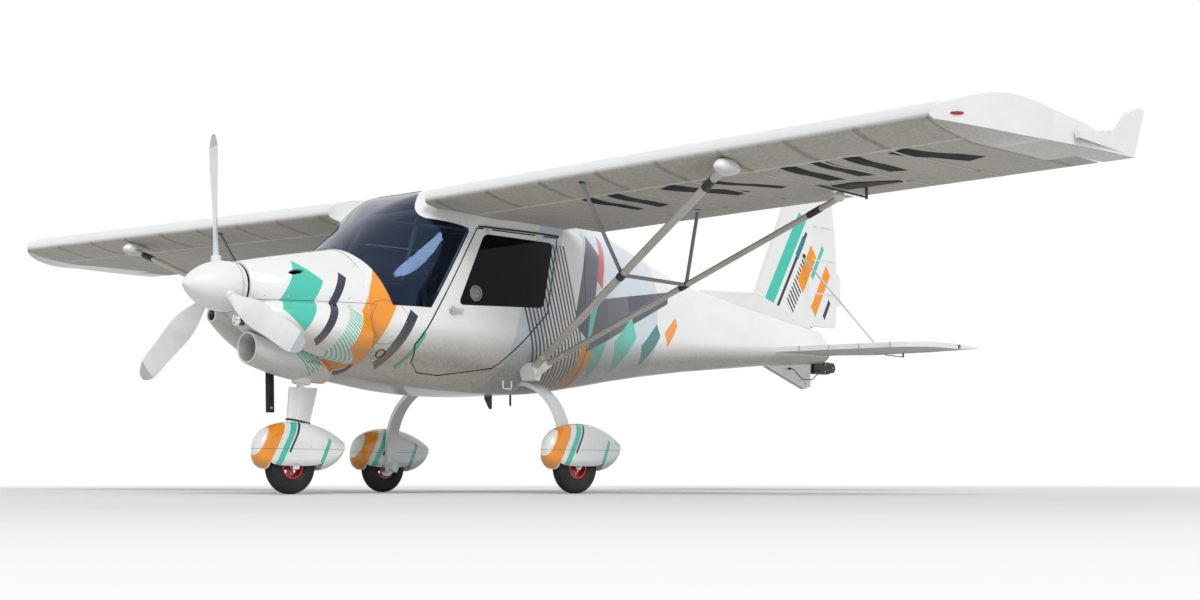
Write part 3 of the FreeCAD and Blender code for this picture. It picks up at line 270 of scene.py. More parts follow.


# Dusting on a painted skin, streaked along the airflow, with painted shade that darkens it most where it
# faces down; the skin is duller where either lies.
t, given, end = effect("dusted_and_shaded", "Paint:Color Dust:Color Amount Patch Gloss", "Colour:Color Roughness Height")
dusted_and_shaded = t
place = coord(t)
streak = noise(t, stretched(t, place, (0.7, 3.2, 2.6)), 3.5, 7.0, 0.62)
streak = ramp(t, streak, 0.40, 0.78)
fine = noise(t, place, 55.0, 4.0)
# Painted shade: the skin darkens as it turns to face down, for the shade underneath as well as dusting.
under = ramp(t, split(t, coord(t, "Normal"))["Z"], 0.05, -0.60)
patchy = times(t, times(t, streak, 0.30), given["Patch"])
laid_dust_and_shade = plus(t, times(t, under, 0.75), patchy)
laid_dust_and_shade = times(t, laid_dust_and_shade, plus(t, 0.72, times(t, fine, 0.5)))
laid_dust_and_shade = times(t, laid_dust_and_shade, given["Amount"], clamp=True)
ripple = noise(t, place, 5.5, 2.0)
peel = noise(t, place, 340.0, 1.0)
give(
    t, end, Colour=mix(t, laid_dust_and_shade, given["Paint"], given["Dust"]),
    Roughness=plus(t, given["Gloss"], times(t, laid_dust_and_shade, 0.45)),
    Height=plus(t, ripple, times(t, peel, 0.04)),
)

# 1 on the outer face of a hollow moulding and on the end of the tail, and 0 on its inner face.
t, given, end = effect("outer_face", "Height", "Mask")
outer_face = t
tail_x = 2.60
place = coord(t)
core = add(t, "CombineXYZ", {"Z": given["Height"]}).outputs[0]
from_core = vector_math(t, "SUBTRACT", place, core)[0]
from_core = vector_math(t, "MULTIPLY", from_core, (0, 1, 1))[0]
facing = vector_math(t, "DOT_PRODUCT", from_core, coord(t, "Normal"))["Value"]
at_tail = greater(t, split(t, place)["X"], tail_x)
give(t, end, Mask=larger(t, greater(t, facing, 0.02), at_tail))


def bar_mask(tree, point, x, z, turn, length, width, slant=0.0, taper=0.0, pitch=1000.0):
    """The mask of one bar on a side view. A bar is solid unless its stripes' pitch is given."""
    return use(tree, masked_bar, {
        "Point": point, "X": x, "Z": z, "Turn": radians(turn), "Half_length": length / 2,
        "Half_width": width / 2, "Slant": slant, "Taper": taper, "Pitch": pitch,
    })["Mask"]


def paint_over(tree, base, point, bars):
    """A base colour with masked bars sprayed over it, one after another."""
    colour = base
    for paint, *shape in bars:
        colour = mix(tree, bar_mask(tree, point, *shape), colour, paint)
    return colour


def bump(tree, strength, distance, height):
    """The normal of a skin raised and sunk by a height."""
    return add(tree, "Bump", {"Strength": strength, "Distance": distance, "Height": height}).outputs[0]


def principled(tree, inputs):
    """The plain shader that a material ends in."""
    add(tree, "OutputMaterial", {"Surface": add(tree, "BsdfPrincipled", inputs).outputs[0]})


def gelcoat(name, bars=(), dust=0.35, core=None):
    """White gloss gelcoat with its sprayed bars, its dusting and painted shade underneath, and the faint ripple of a
    moulding.

    With the height of its core, a hollow moulding is lined in plain grey on its inner face.
    """
    made, tree, point = new_material(name)
    colour = paint_over(tree, SHELL_WHITE, point, bars)
    if core:
        outside = use(tree, outer_face, {"Height": core})["Mask"]
        colour = mix(tree, outside, lining_grey, colour)
        dust = times(tree, outside, dust)
    skin = use(tree, dusted_and_shaded, {"Paint": colour, "Dust": belly_dust_and_shade, "Amount": dust, "Patch": 0.30, "Gloss": 0.16})
    principled(tree, {
        "Base Color": skin["Colour"], "Roughness": skin["Roughness"],
        "Normal": bump(tree, 0.10, 0.006, skin["Height"]),
        "Coat Weight": 0.5, "Coat Roughness": 0.06, "Specular IOR Level": 0.5,
    })
    return made


def satin(name, colour, metallic=0.0, rough=0.32, scale=40.0, spread=0.16, coat=0.0):
    """Metal, paint or plastic with a drawn grain, faint stains and a gloss that varies over it."""
    made, tree, point = new_material(name)
    grain = noise(tree, point, scale, 6.0)
    stain = ramp(tree, noise(tree, point, scale / 9, 3.0), 0.45, 0.80)
    dark = tuple(v * 0.66 for v in colour) + (1.0,)
    principled(tree, {
        "Base Color": mix(tree, stain, colour + (1.0,), dark), "Metallic": metallic,
        "Roughness": plus(tree, rough - spread / 2, times(tree, grain, spread)),
        "Normal": bump(tree, 0.2, 0.0004, grain), "Coat Weight": coat,
    })
    return made


def dress(name, material):
    """Give a CAD node its finish."""
    for slot in nodes[name].material_slots:
        slot.material = material


# Rows: colour, x, z, turn, length, width, and where they are needed the slant, taper and stripes' pitch.
cabin_bars = [
    (MIST, -0.20, 1.25, 72, 2.60, 1.50),
    (SHELL_WHITE, -0.66, 1.02, 74, 1.30, 0.30),
    (INK, -0.72, 1.00, 0, 0.52, 1.10, -0.29, 0.0, 0.034),
    (NAVY, -0.36, 1.30, 72, 0.62, 0.20, 0.30),
    (TURQUOISE, -0.28, 0.98, 72, 0.40, 0.22, 0.30),
    (ORANGE, -0.42, 0.78, 72, 0.30, 0.15, 0.30),
    (RED, -0.15, 1.50, 72, 0.34, 0.08, 0.30),
    (ORANGE, -2.06, 1.05, 66, 0.62, 0.17, 0.35),
    (NAVY, -1.92, 0.90, 66, 0.34, 0.055, 0.35),
    (TURQUOISE, -1.83, 0.84, 66, 0.22, 0.030, 0.35),
]
# The cabin's belly is darkened strongly, with dusting and painted shade.
cabin_paint = gelcoat("cabin_gelcoat", cabin_bars, dust=0.95, core=1.15)
seam_black = satin("seam_sealant", (0.015, 0.015, 0.016), rough=0.6, scale=90)
steel = satin("screw_steel", (0.55, 0.56, 0.57), 1.0, rough=0.35, scale=120)
dress("cabin_shell", cabin_paint)
merge_gap, hair = 0.00002, 0.000001


def skin_copy(name):
    """A copy of a CAD node's skin, with its loose triangles joined up."""
    form = bmesh.new()
    form.from_mesh(nodes[name].data)
    bmesh.ops.remove_doubles(form, verts=form.verts, dist=merge_gap)
    return form


def moved(form, change):
    """Carry a form by a matrix or by an offset."""
    matrix = change if isinstance(change, Matrix) else Matrix.Translation(change)
    bmesh.ops.transform(form, matrix=matrix, verts=form.verts)
    return form


def cut(form, point, normal, **clear):
    """Cut a form by a plane, and clear what is asked for on either side of it."""
    parts = form.verts[:] + form.edges[:] + form.faces[:]
    bmesh.ops.bisect_plane(form, geom=parts, dist=hair, plane_co=point, plane_no=normal, **clear)


def keep_between(form, normal, low, high):
    """Trim a form to what lies between two parallel planes."""
    for level, way in ((low, -1), (high, 1)):
        cut(form, Vector(normal) * level, Vector(normal) * way, clear_outer=True)


def cut_line(name, point, normal):
    """The line in which a plane crosses a CAD node's skin."""
    form = skin_copy(name)
    cut(form, point, normal, clear_inner=True, clear_outer=True)
    bmesh.ops.delete(form, geom=form.faces[:], context="FACES_ONLY")
    return form


def finished(name, mesh, material, body="airframe", smooth=38):
    """A mesh made an object with its finish, riding on a body."""
    mesh.materials.clear()
    mesh.materials.append(material)
    mesh.shade_smooth()
    mesh.set_sharp_from_angle(angle=radians(smooth))
    made = bpy.data.objects.new(name, mesh)
    bpy.context.scene.collection.objects.link(made)
    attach(made, body)
    return made


def mesh_of(name, form):
    """A bmesh made a mesh."""
    mesh = bpy.data.meshes.new(name)
    form.to_mesh(mesh)
    form.free()
    return mesh


def piece(name, form, material, body="airframe", smooth=38):
    """A bmesh, or a list of them, made a finished object."""
    if isinstance(form, list):
        form = joined(form)
    return finished(name, mesh_of(name, form), material, body, smooth)


def joined(forms):
    """Several bmeshes brought together in one."""
    whole = bmesh.new()
    for form in forms:
        part = mesh_of("part", form)
        whole.from_mesh(part)
        bpy.data.meshes.remove(part)
    return whole


def beaded(name, form, radius, body="airframe", material=seam_black, sides=1):
    """A round bead laid along the edges of a form that has no faces."""
    line = bpy.data.objects.new(name + "_line", mesh_of(name + "_line", form))
    bpy.context.scene.collection.objects.link(line)
    for other in bpy.context.selected_objects:
        other.select_set(False)
    bpy.context.view_layer.objects.active = line
    line.select_set(True)
    bpy.ops.object.convert(target="CURVE")
    line.data.bevel_depth = radius
    line.data.bevel_resolution = sides
    line.data.use_fill_caps = True
    bead = bpy.data.meshes.new_from_object(line)
    bpy.data.objects.remove(line)
    return finished(name, bead, material, body, 60)


def outer_rim(name, corner=50):
    """The longest line of sharp edges round a pane or panel, which is the rim of its outer face."""
    form = skin_copy(name)
    sharp = {e for e in form.edges if e.is_manifold and e.calc_face_angle(0) > radians(corner)}
    bmesh.ops.delete(form, geom=form.faces[:], context="FACES_ONLY")
    bmesh.ops.delete(form, geom=[e for e in form.edges if e not in sharp], context="EDGES")
    left, rims = set(form.verts), []
    while left:
        group, front = set(), [left.pop()]
        while front:
            vert = front.pop()
            group.add(vert)
            for edge in vert.link_edges:
                other = edge.other_vert(vert)
                if other in left:
                    left.discard(other)
                    front.append(other)
        edges = {e for vert in group for e in vert.link_edges}
        rims.append((sum(e.calc_length() for e in edges), group))
    longest = max(rims, key=lambda rim: rim[0])[1]
    bmesh.ops.delete(form, geom=[v for v in form.verts if v not in longest], context="VERTS")
    return form


def surface(*names):
    """The skins of some CAD nodes, ready to be touched by a probe."""
    form = joined([skin_copy(name) for name in names])
    tree = BVHTree.FromBMesh(form)
    form.free()
    return tree


def touch(skin, start, direction):
    """Where a probe from a point first meets a skin, and the skin's direction there."""
    point, normal, _, _ = skin.ray_cast(Vector(start), Vector(direction))
    if point is None:
        return None
    return point, normal if normal.dot(Vector(direction)) < 0 else -normal


def from_side(side, x, z, out=1.2):
    """A probe towards the middle plane, from a distance out: its start and its direction."""
    return (x, side * out, z), (0, -side, 0)


def turned_to(axis, way):
    """The turn that carries an axis to a way."""
    return Vector(axis).rotation_difference(way).to_matrix().to_4x4()


def seated(form, point, normal):
    """Turn a form from standing on the ground at the origin to standing on a skin."""
    return moved(form, Matrix.Translation(point) @ turned_to((0, 0, 1), normal))


def set_on(skin, probes, make, lift=0.0):
    """Small forms, one seated wherever a probe meets a skin."""
    found = [touch(skin, *probe) for probe in probes]
    return [seated(make(), f[0] + f[1] * lift, f[1]) for f in found if f]


def stud(radius, depth, sides=6, lift=0.0, top=None):
    """A bolt's head, a washer or a round plate, lying on the ground at the origin."""
    form = bmesh.new()
    bmesh.ops.create_cone(
        form, cap_ends=True, segments=sides, radius1=radius, radius2=top or radius, depth=depth,
        matrix=Matrix.Translation((0, 0, lift)),
    )
    return form


def screw(radius):
    """A countersunk machine screw with a hexagon socket in its face."""
    height = 0.0012
    form = stud(radius, height, 12, height / 2, radius * 0.86)
    top = max(form.faces, key=lambda f: f.calc_center_median().z)
    bmesh.ops.inset_region(form, faces=[top], thickness=radius * 0.42)
    bmesh.ops.translate(form, verts=top.verts, vec=(0, 0, -height * 0.7))
    return form


def screws(name, skin, probes, radius, body="airframe", lift=-0.0003, material=steel):
    """A row of screws set where probes meet a skin."""
    return piece(name, set_on(skin, probes, lambda: screw(radius), lift), material, body, 30)


def ring_on(name, skin, side, x, z, radius, bead, count=48, past_edge=0.5):
    """A round line on the side of the fuselage, found by probing the skin round a circle.

    Where a probe misses, such as past the moulding's front edge, the line keeps one distance out, and
    stands off what is under it.
    """
    form = bmesh.new()
    bmesh.ops.create_circle(form, cap_ends=False, segments=count, radius=radius)
    for vert in form.verts:
        start, way = from_side(side, x + vert.co.x, z + vert.co.y)
        found = touch(skin, start, way)
        vert.co = found[0] if found else (start[0], side * past_edge, start[2])
    return beaded(name, form, bead)


# The seams, the round access hatches ahead of the doors, and the fairing screws at the wing roots.
cabin_skin = surface("cabin_shell")
cabin_low, cabin_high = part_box("cabin_shell")
hatch_x, hatch_z = -2.012, 0.996
hatch_spots = [(hatch_x + 0.112 * cos(pi / 3 * k), hatch_z + 0.112 * sin(pi / 3 * k)) for k in range(6)]
root_spots = ((-1.66, 1.655), (-1.60, 1.70), (-1.49, 1.72), (-1.42, 1.70))
for side, word in SIDES:
    ring_on(f"hatch_seam_{word}", cabin_skin, side, hatch_x, hatch_z, 0.128, 0.0011)
    ring_on(f"drain_ring_{word}", cabin_skin, side, -2.002, 0.815, 0.021, 0.0042, 28)
    screws(f"hatch_screws_{word}", cabin_skin, [from_side(side, *spot) for spot in hatch_spots], 0.004)
    screws(
        f"root_screws_{word}", cabin_skin, [from_side(side, *spot) for spot in root_spots], 0.006,
        material=seam_black,
    )
for word, x in (("firewall", cabin_low.x + 0.002), ("bulkhead", cabin_high.x - 0.002)):
    beaded(f"{word}_seam", cut_line("cabin_shell", (x, 0, 0), (1, 0, 0)), 0.0013)


# ---- windscreen, roof pane and door panes ----------------------------------------------------------
# Blown acrylic sheet, 5 mm thick, smoked blue-grey in the windscreen and nearly black in the doors.
# The panes are bonded into rebates in the moulding, under a thin black bead of sealant.

def smoked(name, colour, rough=0.02, sheen=(1, 1, 1)):
    """Smoked acrylic: a plain clear shader, with fine wiping scratches in its gloss."""
    made, tree, point = new_material(name)
    scratch = noise(tree, stretched(tree, point, (14, 14, 90)), 6.0, 5.0)
    principled(tree, {
        "Base Color": colour + (1,), "Roughness": ramp(tree, scratch, 0.55, 0.80, rough, rough + 0.05),
        "IOR": 1.45, "Transmission Weight": 1.0, "Specular Tint": sheen + (1,),
    })
    return made


# Painted reflection: the windscreen's sheen tints what it mirrors blue, for a blue sky; its smoke-blue base is the
# acrylic's own tint.
windscreen_glass = smoked("windscreen_acrylic", (0.34, 0.40, 0.54), sheen=(0.40, 0.62, 1.0))
door_glass = smoked("door_acrylic", (0.022, 0.022, 0.025), sheen=(0.12, 0.12, 0.14))
for pane in ("windscreen", "skylight"):
    dress(pane, windscreen_glass)
    beaded(f"{pane}_seal", outer_rim(pane), 0.0022)
fairing_paint = gelcoat("root_gelcoat", dust=0.30)


def trim_round(form, first, second, corner, radius, steps=6):
    """Keep what lies beyond two planes that meet at a corner, with that corner rounded off."""
    middle = (first + second).normalized()
    reach = radius / middle.dot(first)
    for step in range(steps + 1):
        normal = first.lerp(second, step / steps).normalized()
        keep_between(form, normal, normal.dot(corner) + reach * normal.dot(middle) - radius, 9)


def thickened(form, thickness):
    """Give a sheet its thickness."""
    bmesh.ops.solidify(form, geom=form.faces[:], thickness=thickness)
    return form


# The white fairings at the wings' roots, lapped over the screen's upper corners and screwed down.
screen_skin = surface("windscreen")
screen_heart = Vector((-1.20, 0, 1.15))
for side, word in SIDES:
    cover = skin_copy("windscreen")
    hidden = [f for f in cover.faces if f.normal.dot(f.calc_center_median() - screen_heart) < 0.1]
    bmesh.ops.delete(cover, geom=hidden, context="FACES")
    slant, level = Vector((0.5738, side * 0.8190, 0)), Vector((0.2626, 0, 0.9649))
    trim_round(cover, slant, level, Vector((-1.7125, side * 0.3528, 1.652)), 0.12)
    piece(f"root_fairing_{word}", thickened(cover, -0.0025), fairing_paint, smooth=50)
    spots = ((-1.640, 1.645), (-1.580, 1.630), (-1.520, 1.612))
    probes = [from_side(side, x, z, 1.0) for x, z in spots]
    screws(f"root_fairing_screws_{word}", screen_skin, probes, 0.0050, lift=0.0024)


def chained(form, points, closed=False):
    """Lay points into a form as a line of edges."""
    line = [form.verts.new(p) for p in points]
    edges = [form.edges.new(pair) for pair in zip(line, line[1:] + line[:1] if closed else line[1:])]
    return line, edges


def outward(form):
    """Turn a form's faces to the outside."""
    bmesh.ops.recalc_face_normals(form, faces=form.faces)
    return form


def lathe(profile, axis, steps=40, closed=False):
    """A round part turned about an axis, 0 to 2, from its profile of distances along it and radii."""
    along, away = Vector((0, 0, 0)), Vector((1, 0, 0) if axis == 2 else (0, 0, 1))
    along[axis] = 1
    form = bmesh.new()
    line, edges = chained(form, [along * a + away * r for a, r in profile], closed)
    bmesh.ops.spin(
        form, geom=line + edges, cent=(0, 0, 0), axis=along, angle=2 * pi, steps=steps, use_merge=True,
    )
    bmesh.ops.remove_doubles(form, verts=form.verts, dist=merge_gap)
    return outward(form)


def block(size, middle=(0, 0, 0), bevel=0.0, segments=2):
    """A block about its middle, with its edges rounded off."""
    form = bmesh.new()
    bmesh.ops.create_cube(form, size=1.0)
    bmesh.ops.scale(form, verts=form.verts, vec=size)
    moved(form, Vector(middle))
    if bevel:
        bmesh.ops.bevel(
            form, geom=form.edges[:], offset=bevel, affect="EDGES", segments=segments, profile=0.5, material=-1,
        )
    return form


def ball(size, across=24, down=12):
    """A ball stretched to its three half sizes."""
    form = bmesh.new()
    bmesh.ops.create_uvsphere(form, u_segments=across, v_segments=down, radius=1.0)
    bmesh.ops.scale(form, verts=form.verts, vec=size)
    return form


# Each door pane has a round hand vent: a clear ring pressed into it, and a dished flap that turns in it.
vent_ring = [(0.000, 0.036), (0.005, 0.037), (0.007, 0.041), (0.005, 0.047), (0.000, 0.049)]
for side, word in SIDES:
    pane, body = f"door_window_{word}", f"door_{word}"
    dress(pane, door_glass)
    beaded(f"{pane}_seal", outer_rim(pane), 0.0026, body)
    vent_clear = satin("vent_plastic", (0.24, 0.25, 0.26), rough=0.2, scale=60)
    point, normal = touch(surface(pane), *from_side(side, -1.411, 1.196))
    vent = joined([
        lathe(vent_ring, 2), ball((0.034, 0.034, 0.00544), 32), block((0.040, 0.005, 0.012), (0, 0, 0.006), 0.0018),
    ])
    piece(f"hand_vent_{word}", seated(vent, point, normal), vent_clear, body)


# ---- doors -----------------------------------------------------------------------------------------
# Upward-opening doors in the same moulding, each on two piano-hinge knuckles under the roof's edge, with
# a rubber seal round its edge, a lever latch, and a strut plate inside.

rubber = satin("door_rubber", (0.012, 0.012, 0.012), rough=0.65, scale=120)
bare_metal = satin("bare_aluminium", (0.66, 0.67, 0.69), 1.0)
black_metal = satin("black_metal", (0.018, 0.018, 0.020), rough=0.42)
hinge_spans = ((-1.349, -1.271), (-0.909, -0.831))
hinge_low = 1.565
latch_spots = [(-1.606 + dx, 1.085 + dz) for dx in (-0.014, 0.014) for dz in (-0.014, 0.014)]
for side, word in SIDES:
    body = f"door_{word}"
    dress(body, cabin_paint)
    dress(f"door_fittings_{word}", bare_metal)
    seal = outer_rim(body)
    for edge_x in (x for span in hinge_spans for x in span):
        cut(seal, (edge_x, 0, 0), (1, 0, 0))
    hinged = []
    for edge in seal.edges:
        middle = (edge.verts[0].co + edge.verts[1].co) / 2
        if middle.z > hinge_low and any(low < middle.x < high for low, high in hinge_spans):
            hinged.append(edge)
    bmesh.ops.delete(seal, geom=hinged, context="EDGES")
    beaded(f"door_edge_seal_{word}", seal, 0.0028, body, rubber)
    probes = [from_side(side, *spot) for spot in latch_spots]
    screws(f"latch_screws_{word}", surface(f"door_fittings_{word}"), probes, 0.003, body)
dress("door_hinges", bare_metal)

# The rubber weather strip over each door, under the wing.
for side, word in SIDES:
    strip = bpy.data.curves.new(f"weather_strip_{word}", "CURVE")
    strip.dimensions = "3D"
    spots = ((-1.385, 1.603), (-1.10, 1.606), (-0.85, 1.606), (-0.69, 1.603))
    spline = strip.splines.new("NURBS")
    spline.points.add(len(spots) - 1)
    for knot, spot in zip(spline.points, spots):
        point, normal = touch(cabin_skin, *from_side(side, *spot))
        knot.co = (*(point + normal * 0.002), 1)
    spline.order_u = 3
    spline.use_endpoint_u = True
    strip.bevel_depth = 0.006
    strip.bevel_resolution = 3
    strip.use_fill_caps = True
    carrier = bpy.data.objects.new(f"weather_strip_{word}_line", strip)
    mesh = bpy.data.meshes.new_from_object(carrier)
    bpy.data.objects.remove(carrier)
    finished(f"weather_strip_{word}", mesh, rubber)


# ---- aft fuselage, dorsal ridge and ventral fin ----------------------------------------------------
# A tapering tail cone in the same moulding, with the fin's ridge bonded on its top and a small ventral
# fin below, bored for the tail tie-down.

aft_bars = cabin_bars[:1] + cabin_bars[3:7] + [
    (NAVY, 0.22, 1.20, 14, 1.10, 0.30, 0.9, 0.75),
    (TURQUOISE, 0.10, 0.98, 40, 0.36, 0.20, 0.5, 0.4),
    (TEAL, 0.44, 1.00, 40, 0.30, 0.13, 0.5, 0.4),
    (ORANGE, 0.72, 1.10, 40, 0.22, 0.09, 0.5, 0.4),
]
dress("aft_fuselage", gelcoat("aft_gelcoat", aft_bars, dust=0.95, core=1.20))
ridge_paint = gelcoat("ridge_gelcoat", aft_bars, dust=0.95)
dress("dorsal_ridge", ridge_paint)
dress("ventral_fin", ridge_paint)
bush = lathe([(-0.0215, 0.0062), (0.0215, 0.0062), (0.0215, 0.0105), (-0.0215, 0.0105)], 1, 32, closed=True)
piece("tie_down_bush", moved(bush, (2.60, 0, 0.812)), steel)


# ---- cowling ---------------------------------------------------------------------------------------
# Two glass-fibre shells, split level with the cheeks and held by quarter-turn screws, with a round
# radiator duct under the chin, two oval cheek inlets and one landing light.

cowl_bars = [
    (TURQUOISE, -2.50, 1.13, 62, 0.34, 0.16, 0.35),
    (NAVY, -2.34, 1.06, 62, 0.46, 0.045, 0.35),
    (TURQUOISE, -2.24, 0.88, 62, 0.30, 0.17, 0.35, 0.0, 0.018),
    (ORANGE, -2.06, 1.05, 66, 0.62, 0.17, 0.35),
]
cowl_paint = gelcoat("cowl_gelcoat", cowl_bars, dust=0.70)
for name in ("cowl_upper", "cowl_lower"):
    dress(name, cowl_paint)
split_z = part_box("cowl_lower")[1].z
cowl_front, cowl_rear = (corner.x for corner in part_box("cowl_upper"))
cowl_skin = surface("cowl_upper", "cowl_lower")

# The split line, laid on the outer skin only by probing it from both sides, and the screws about it.
seam_steps = 60
rows = {
    word: [(cowl_front + 0.06 + k * 0.113, split_z + height) for k in range(6)]
    for word, height in (("upper", 0.022), ("lower", -0.022))
}
rows["rear"] = [(cowl_rear - 0.022, z) for z in (0.84, 0.96, 1.20, 1.32)]
for side, word in SIDES:
    seam = bmesh.new()
    seam_xs = [cowl_front + 0.012 + k / seam_steps * (cowl_rear - cowl_front - 0.014) for k in range(seam_steps + 1)]
    chained(seam, [touch(cowl_skin, *from_side(side, x, split_z - 0.001))[0] for x in seam_xs])
    beaded(f"cowl_split_{word}", seam, 0.0012)
    for row, spots in rows.items():
        screws(f"cowl_{row}_screws_{word}", cowl_skin, [from_side(side, *spot) for spot in spots], 0.0055)


def turn_about(axis, degrees):
    """A turn about X, Y or Z."""
    return Matrix.Rotation(radians(degrees), 4, axis)


# The chin duct's rolled lip, the fins of the oil cooler in it, and a blister on each of its sides.
lip = bmesh.new()
bmesh.ops.create_circle(lip, cap_ends=False, segments=56, radius=0.086)
lip = moved(lip, Matrix.Translation((-2.6425, 0, 0.838)) @ turn_about("Y", 90))
beaded("duct_lip", lip, 0.0062, material=cowl_paint, sides=3)
core_low, core_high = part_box("oil_cooler")
core_middle, core_radius = (core_low.z + core_high.z) / 2, (core_high.z - core_low.z) / 2
fins, fin_count, margin = [], 15, 0.012
for k in range(fin_count):
    z = core_low.z + margin + k * 2 * (core_radius - margin) / (fin_count - 1)
    half = (core_radius ** 2 - (z - core_middle) ** 2) ** 0.5 - margin / 2
    if half >= 0.01:
        fins.append(block((0.004, 2 * half, 0.0035), (core_low.x - 0.002, 0, z)))
dress("oil_cooler", satin("cooler_core", (0.02, 0.02, 0.022), metallic=0.5, rough=0.5, scale=200))
piece("cooler_fins", fins, bare_metal)
blisters = []
for side, _ in SIDES:
    point, _ = touch(cowl_skin, *from_side(side, -2.235, 0.742))
    blisters.append(moved(ball((0.062, 0.026, 0.030), 28, 16), Matrix.Translation(point) @ turn_about("Y", 12)))
piece("duct_blisters", blisters, cowl_paint)

# The landing light: a polished dish and a bulb behind a clear lens, in a bright bezel.
light_low, light_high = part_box("landing_light")
light_radius = (light_high.z - light_low.z) / 2
chrome = satin("lamp_chrome", (0.85, 0.86, 0.87), 1.0, rough=0.08, spread=0.04)
lamp_body = satin("lamp_body", (0.05, 0.05, 0.05), rough=0.4)
dress("landing_light", lamp_body)
bezel = lathe([
    (0.004, light_radius - 0.006), (-0.004, light_radius - 0.006), (-0.007, light_radius - 0.002),
    (-0.006, light_radius + 0.003), (-0.001, light_radius + 0.006), (0.004, light_radius + 0.006),
], 0)
dish = lathe([(-0.0008, light_radius - 0.006), (-0.0006, 0.018), (-0.0004, 0.009), (-0.0002, 0.0)], 0)
bulb = lathe([(-0.004, 0.0), (-0.0035, 0.003), (-0.002, 0.0045), (-0.0005, 0.0048)], 0)
lens = thickened(lathe([(-0.0052, 0.0), (-0.0050, 0.012), (-0.0042, light_radius - 0.0065)], 0), 0.0008)
for name, form, material in (
    ("bezel", bezel, chrome), ("dish", dish, chrome), ("bulb", bulb, lamp_body),
    ("lens", lens, smoked("lamp_lens", (0.93, 0.96, 0.95))),
):
    place = (light_low.x, 0, (light_low.z + light_high.z) / 2)
    piece(f"landing_light_{name}", moved(form, place), material)


# ---- engine, tail pipe and nose leg socket ---------------------------------------------------------
# The engine is a cast block behind the cowling, and only its tail pipe shows: a flattened tube of
# heat-stained steel, welded shut along its edge and clamped by one bolt near its end.

dress("engine_block", satin("engine_casting", (0.16, 0.16, 0.17), metallic=0.6, rough=0.5))
dress("exhaust_pipe", satin("tail_pipe_steel", (0.035, 0.032, 0.030), metallic=0.7, rough=0.5, scale=70))
plain_white = gelcoat("white_top_coat", dust=0.25)
dress("nose_leg_socket", plain_white)
pipe_low, pipe_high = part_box("exhaust_pipe")
pipe_y = (pipe_low.y + pipe_high.y) / 2
probes = [((pipe_low.x + 0.044, pipe_y + side * 0.2, pipe_low.z + 0.028), (0, -side, 0)) for side, _ in SIDES]
heads = set_on(
    surface("exhaust_pipe"), probes,
    lambda: joined([stud(0.0075, 0.005, lift=0.0035), stud(0.010, 0.0015, 20, 0.0008)]),
)
piece("tail_pipe_bolt", heads, steel, smooth=30)


# ---- spinner and propeller -------------------------------------------------------------------------
# A three-blade, ground-adjustable propeller of carbon under white paint with pale grey tips. Each blade
# is clamped in the hub behind a moulded spinner.

dress("spinner", plain_white)
thrust_z, seam_x, rim_x, reach = 1.176, -2.782, -2.768, 0.3
spinner_seam = bmesh.new()
spinner_skin = surface("spinner")
bmesh.ops.create_circle(spinner_seam, cap_ends=False, segments=72, radius=reach)
for vert in spinner_seam.verts:
    inward = Vector((0, -vert.co.x, -vert.co.y)).normalized()
    vert.co, _ = touch(spinner_skin, (seam_x, vert.co.x, thrust_z + vert.co.y), inward)
beaded("spinner_seam", spinner_seam, 0.0012, "propeller")
turns = [2 * pi * (k + 0.5) / 9 for k in range(9)]
probes = [((rim_x, reach * cos(a), thrust_z + reach * sin(a)), (0, -cos(a), -sin(a))) for a in turns]
screws("spinner_screws", spinner_skin, probes, 0.0045, "propeller")

blade_paint, tree, point = new_material("blade_paint")
flat = vector_math(tree, "SUBTRACT", point, (0, 0, thrust_z))[0]
flat = vector_math(tree, "MULTIPLY", flat, (0, 1, 1))[0]
tip_mask = ramp(tree, vector_math(tree, "LENGTH", flat)["Value"], 0.800, 0.803)
grain = noise(tree, point, 5.0, 3.0)
worn = mix(tree, ramp(tree, grain, 0.40, 0.75), tint("EDEEEE"), tint("DCDEDF"))
principled(tree, {
    "Base Color": mix(tree, tip_mask, worn, tint("B9BCC0")),
    "Roughness": plus(tree, 0.22, times(tree, grain, 0.15)),
    "Coat Weight": 0.4, "Normal": bump(tree, 0.1, 0.0005, grain),
})
dress("propeller_blades", blade_paint)


# ---- wings -----------------------------------------------------------------------------------------
# Tube spars and ribs under a laced sail of white polyester, with sewn rib pockets, a tape behind the
# leading edge, and moulded tips with small winglets. Plain black bars mark the left wing's underside.

# Sewn cloth over ribs: it sags a little between them, and the skin is darker along each pocket, soiling and painted
# shade together.
t, given, end = effect("ribbed", "Across First Pitch", "Height Pocket")
ribbed = t
phase = fraction(t, over(t, minus(t, given["Across"], given["First"]), given["Pitch"]))
off = absolute(t, minus(t, phase, 0.5))
near = times(t, minus(t, 0.5, off), given["Pitch"])
give(t, end, Height=times(t, off, off), Pocket=ramp(t, near, 0.030, 0.008, shape="SMOOTHSTEP"))

# The colour the sail's underside darkens to: dusting and painted shade together.
wing_dust_and_shade = tint("8F8676")


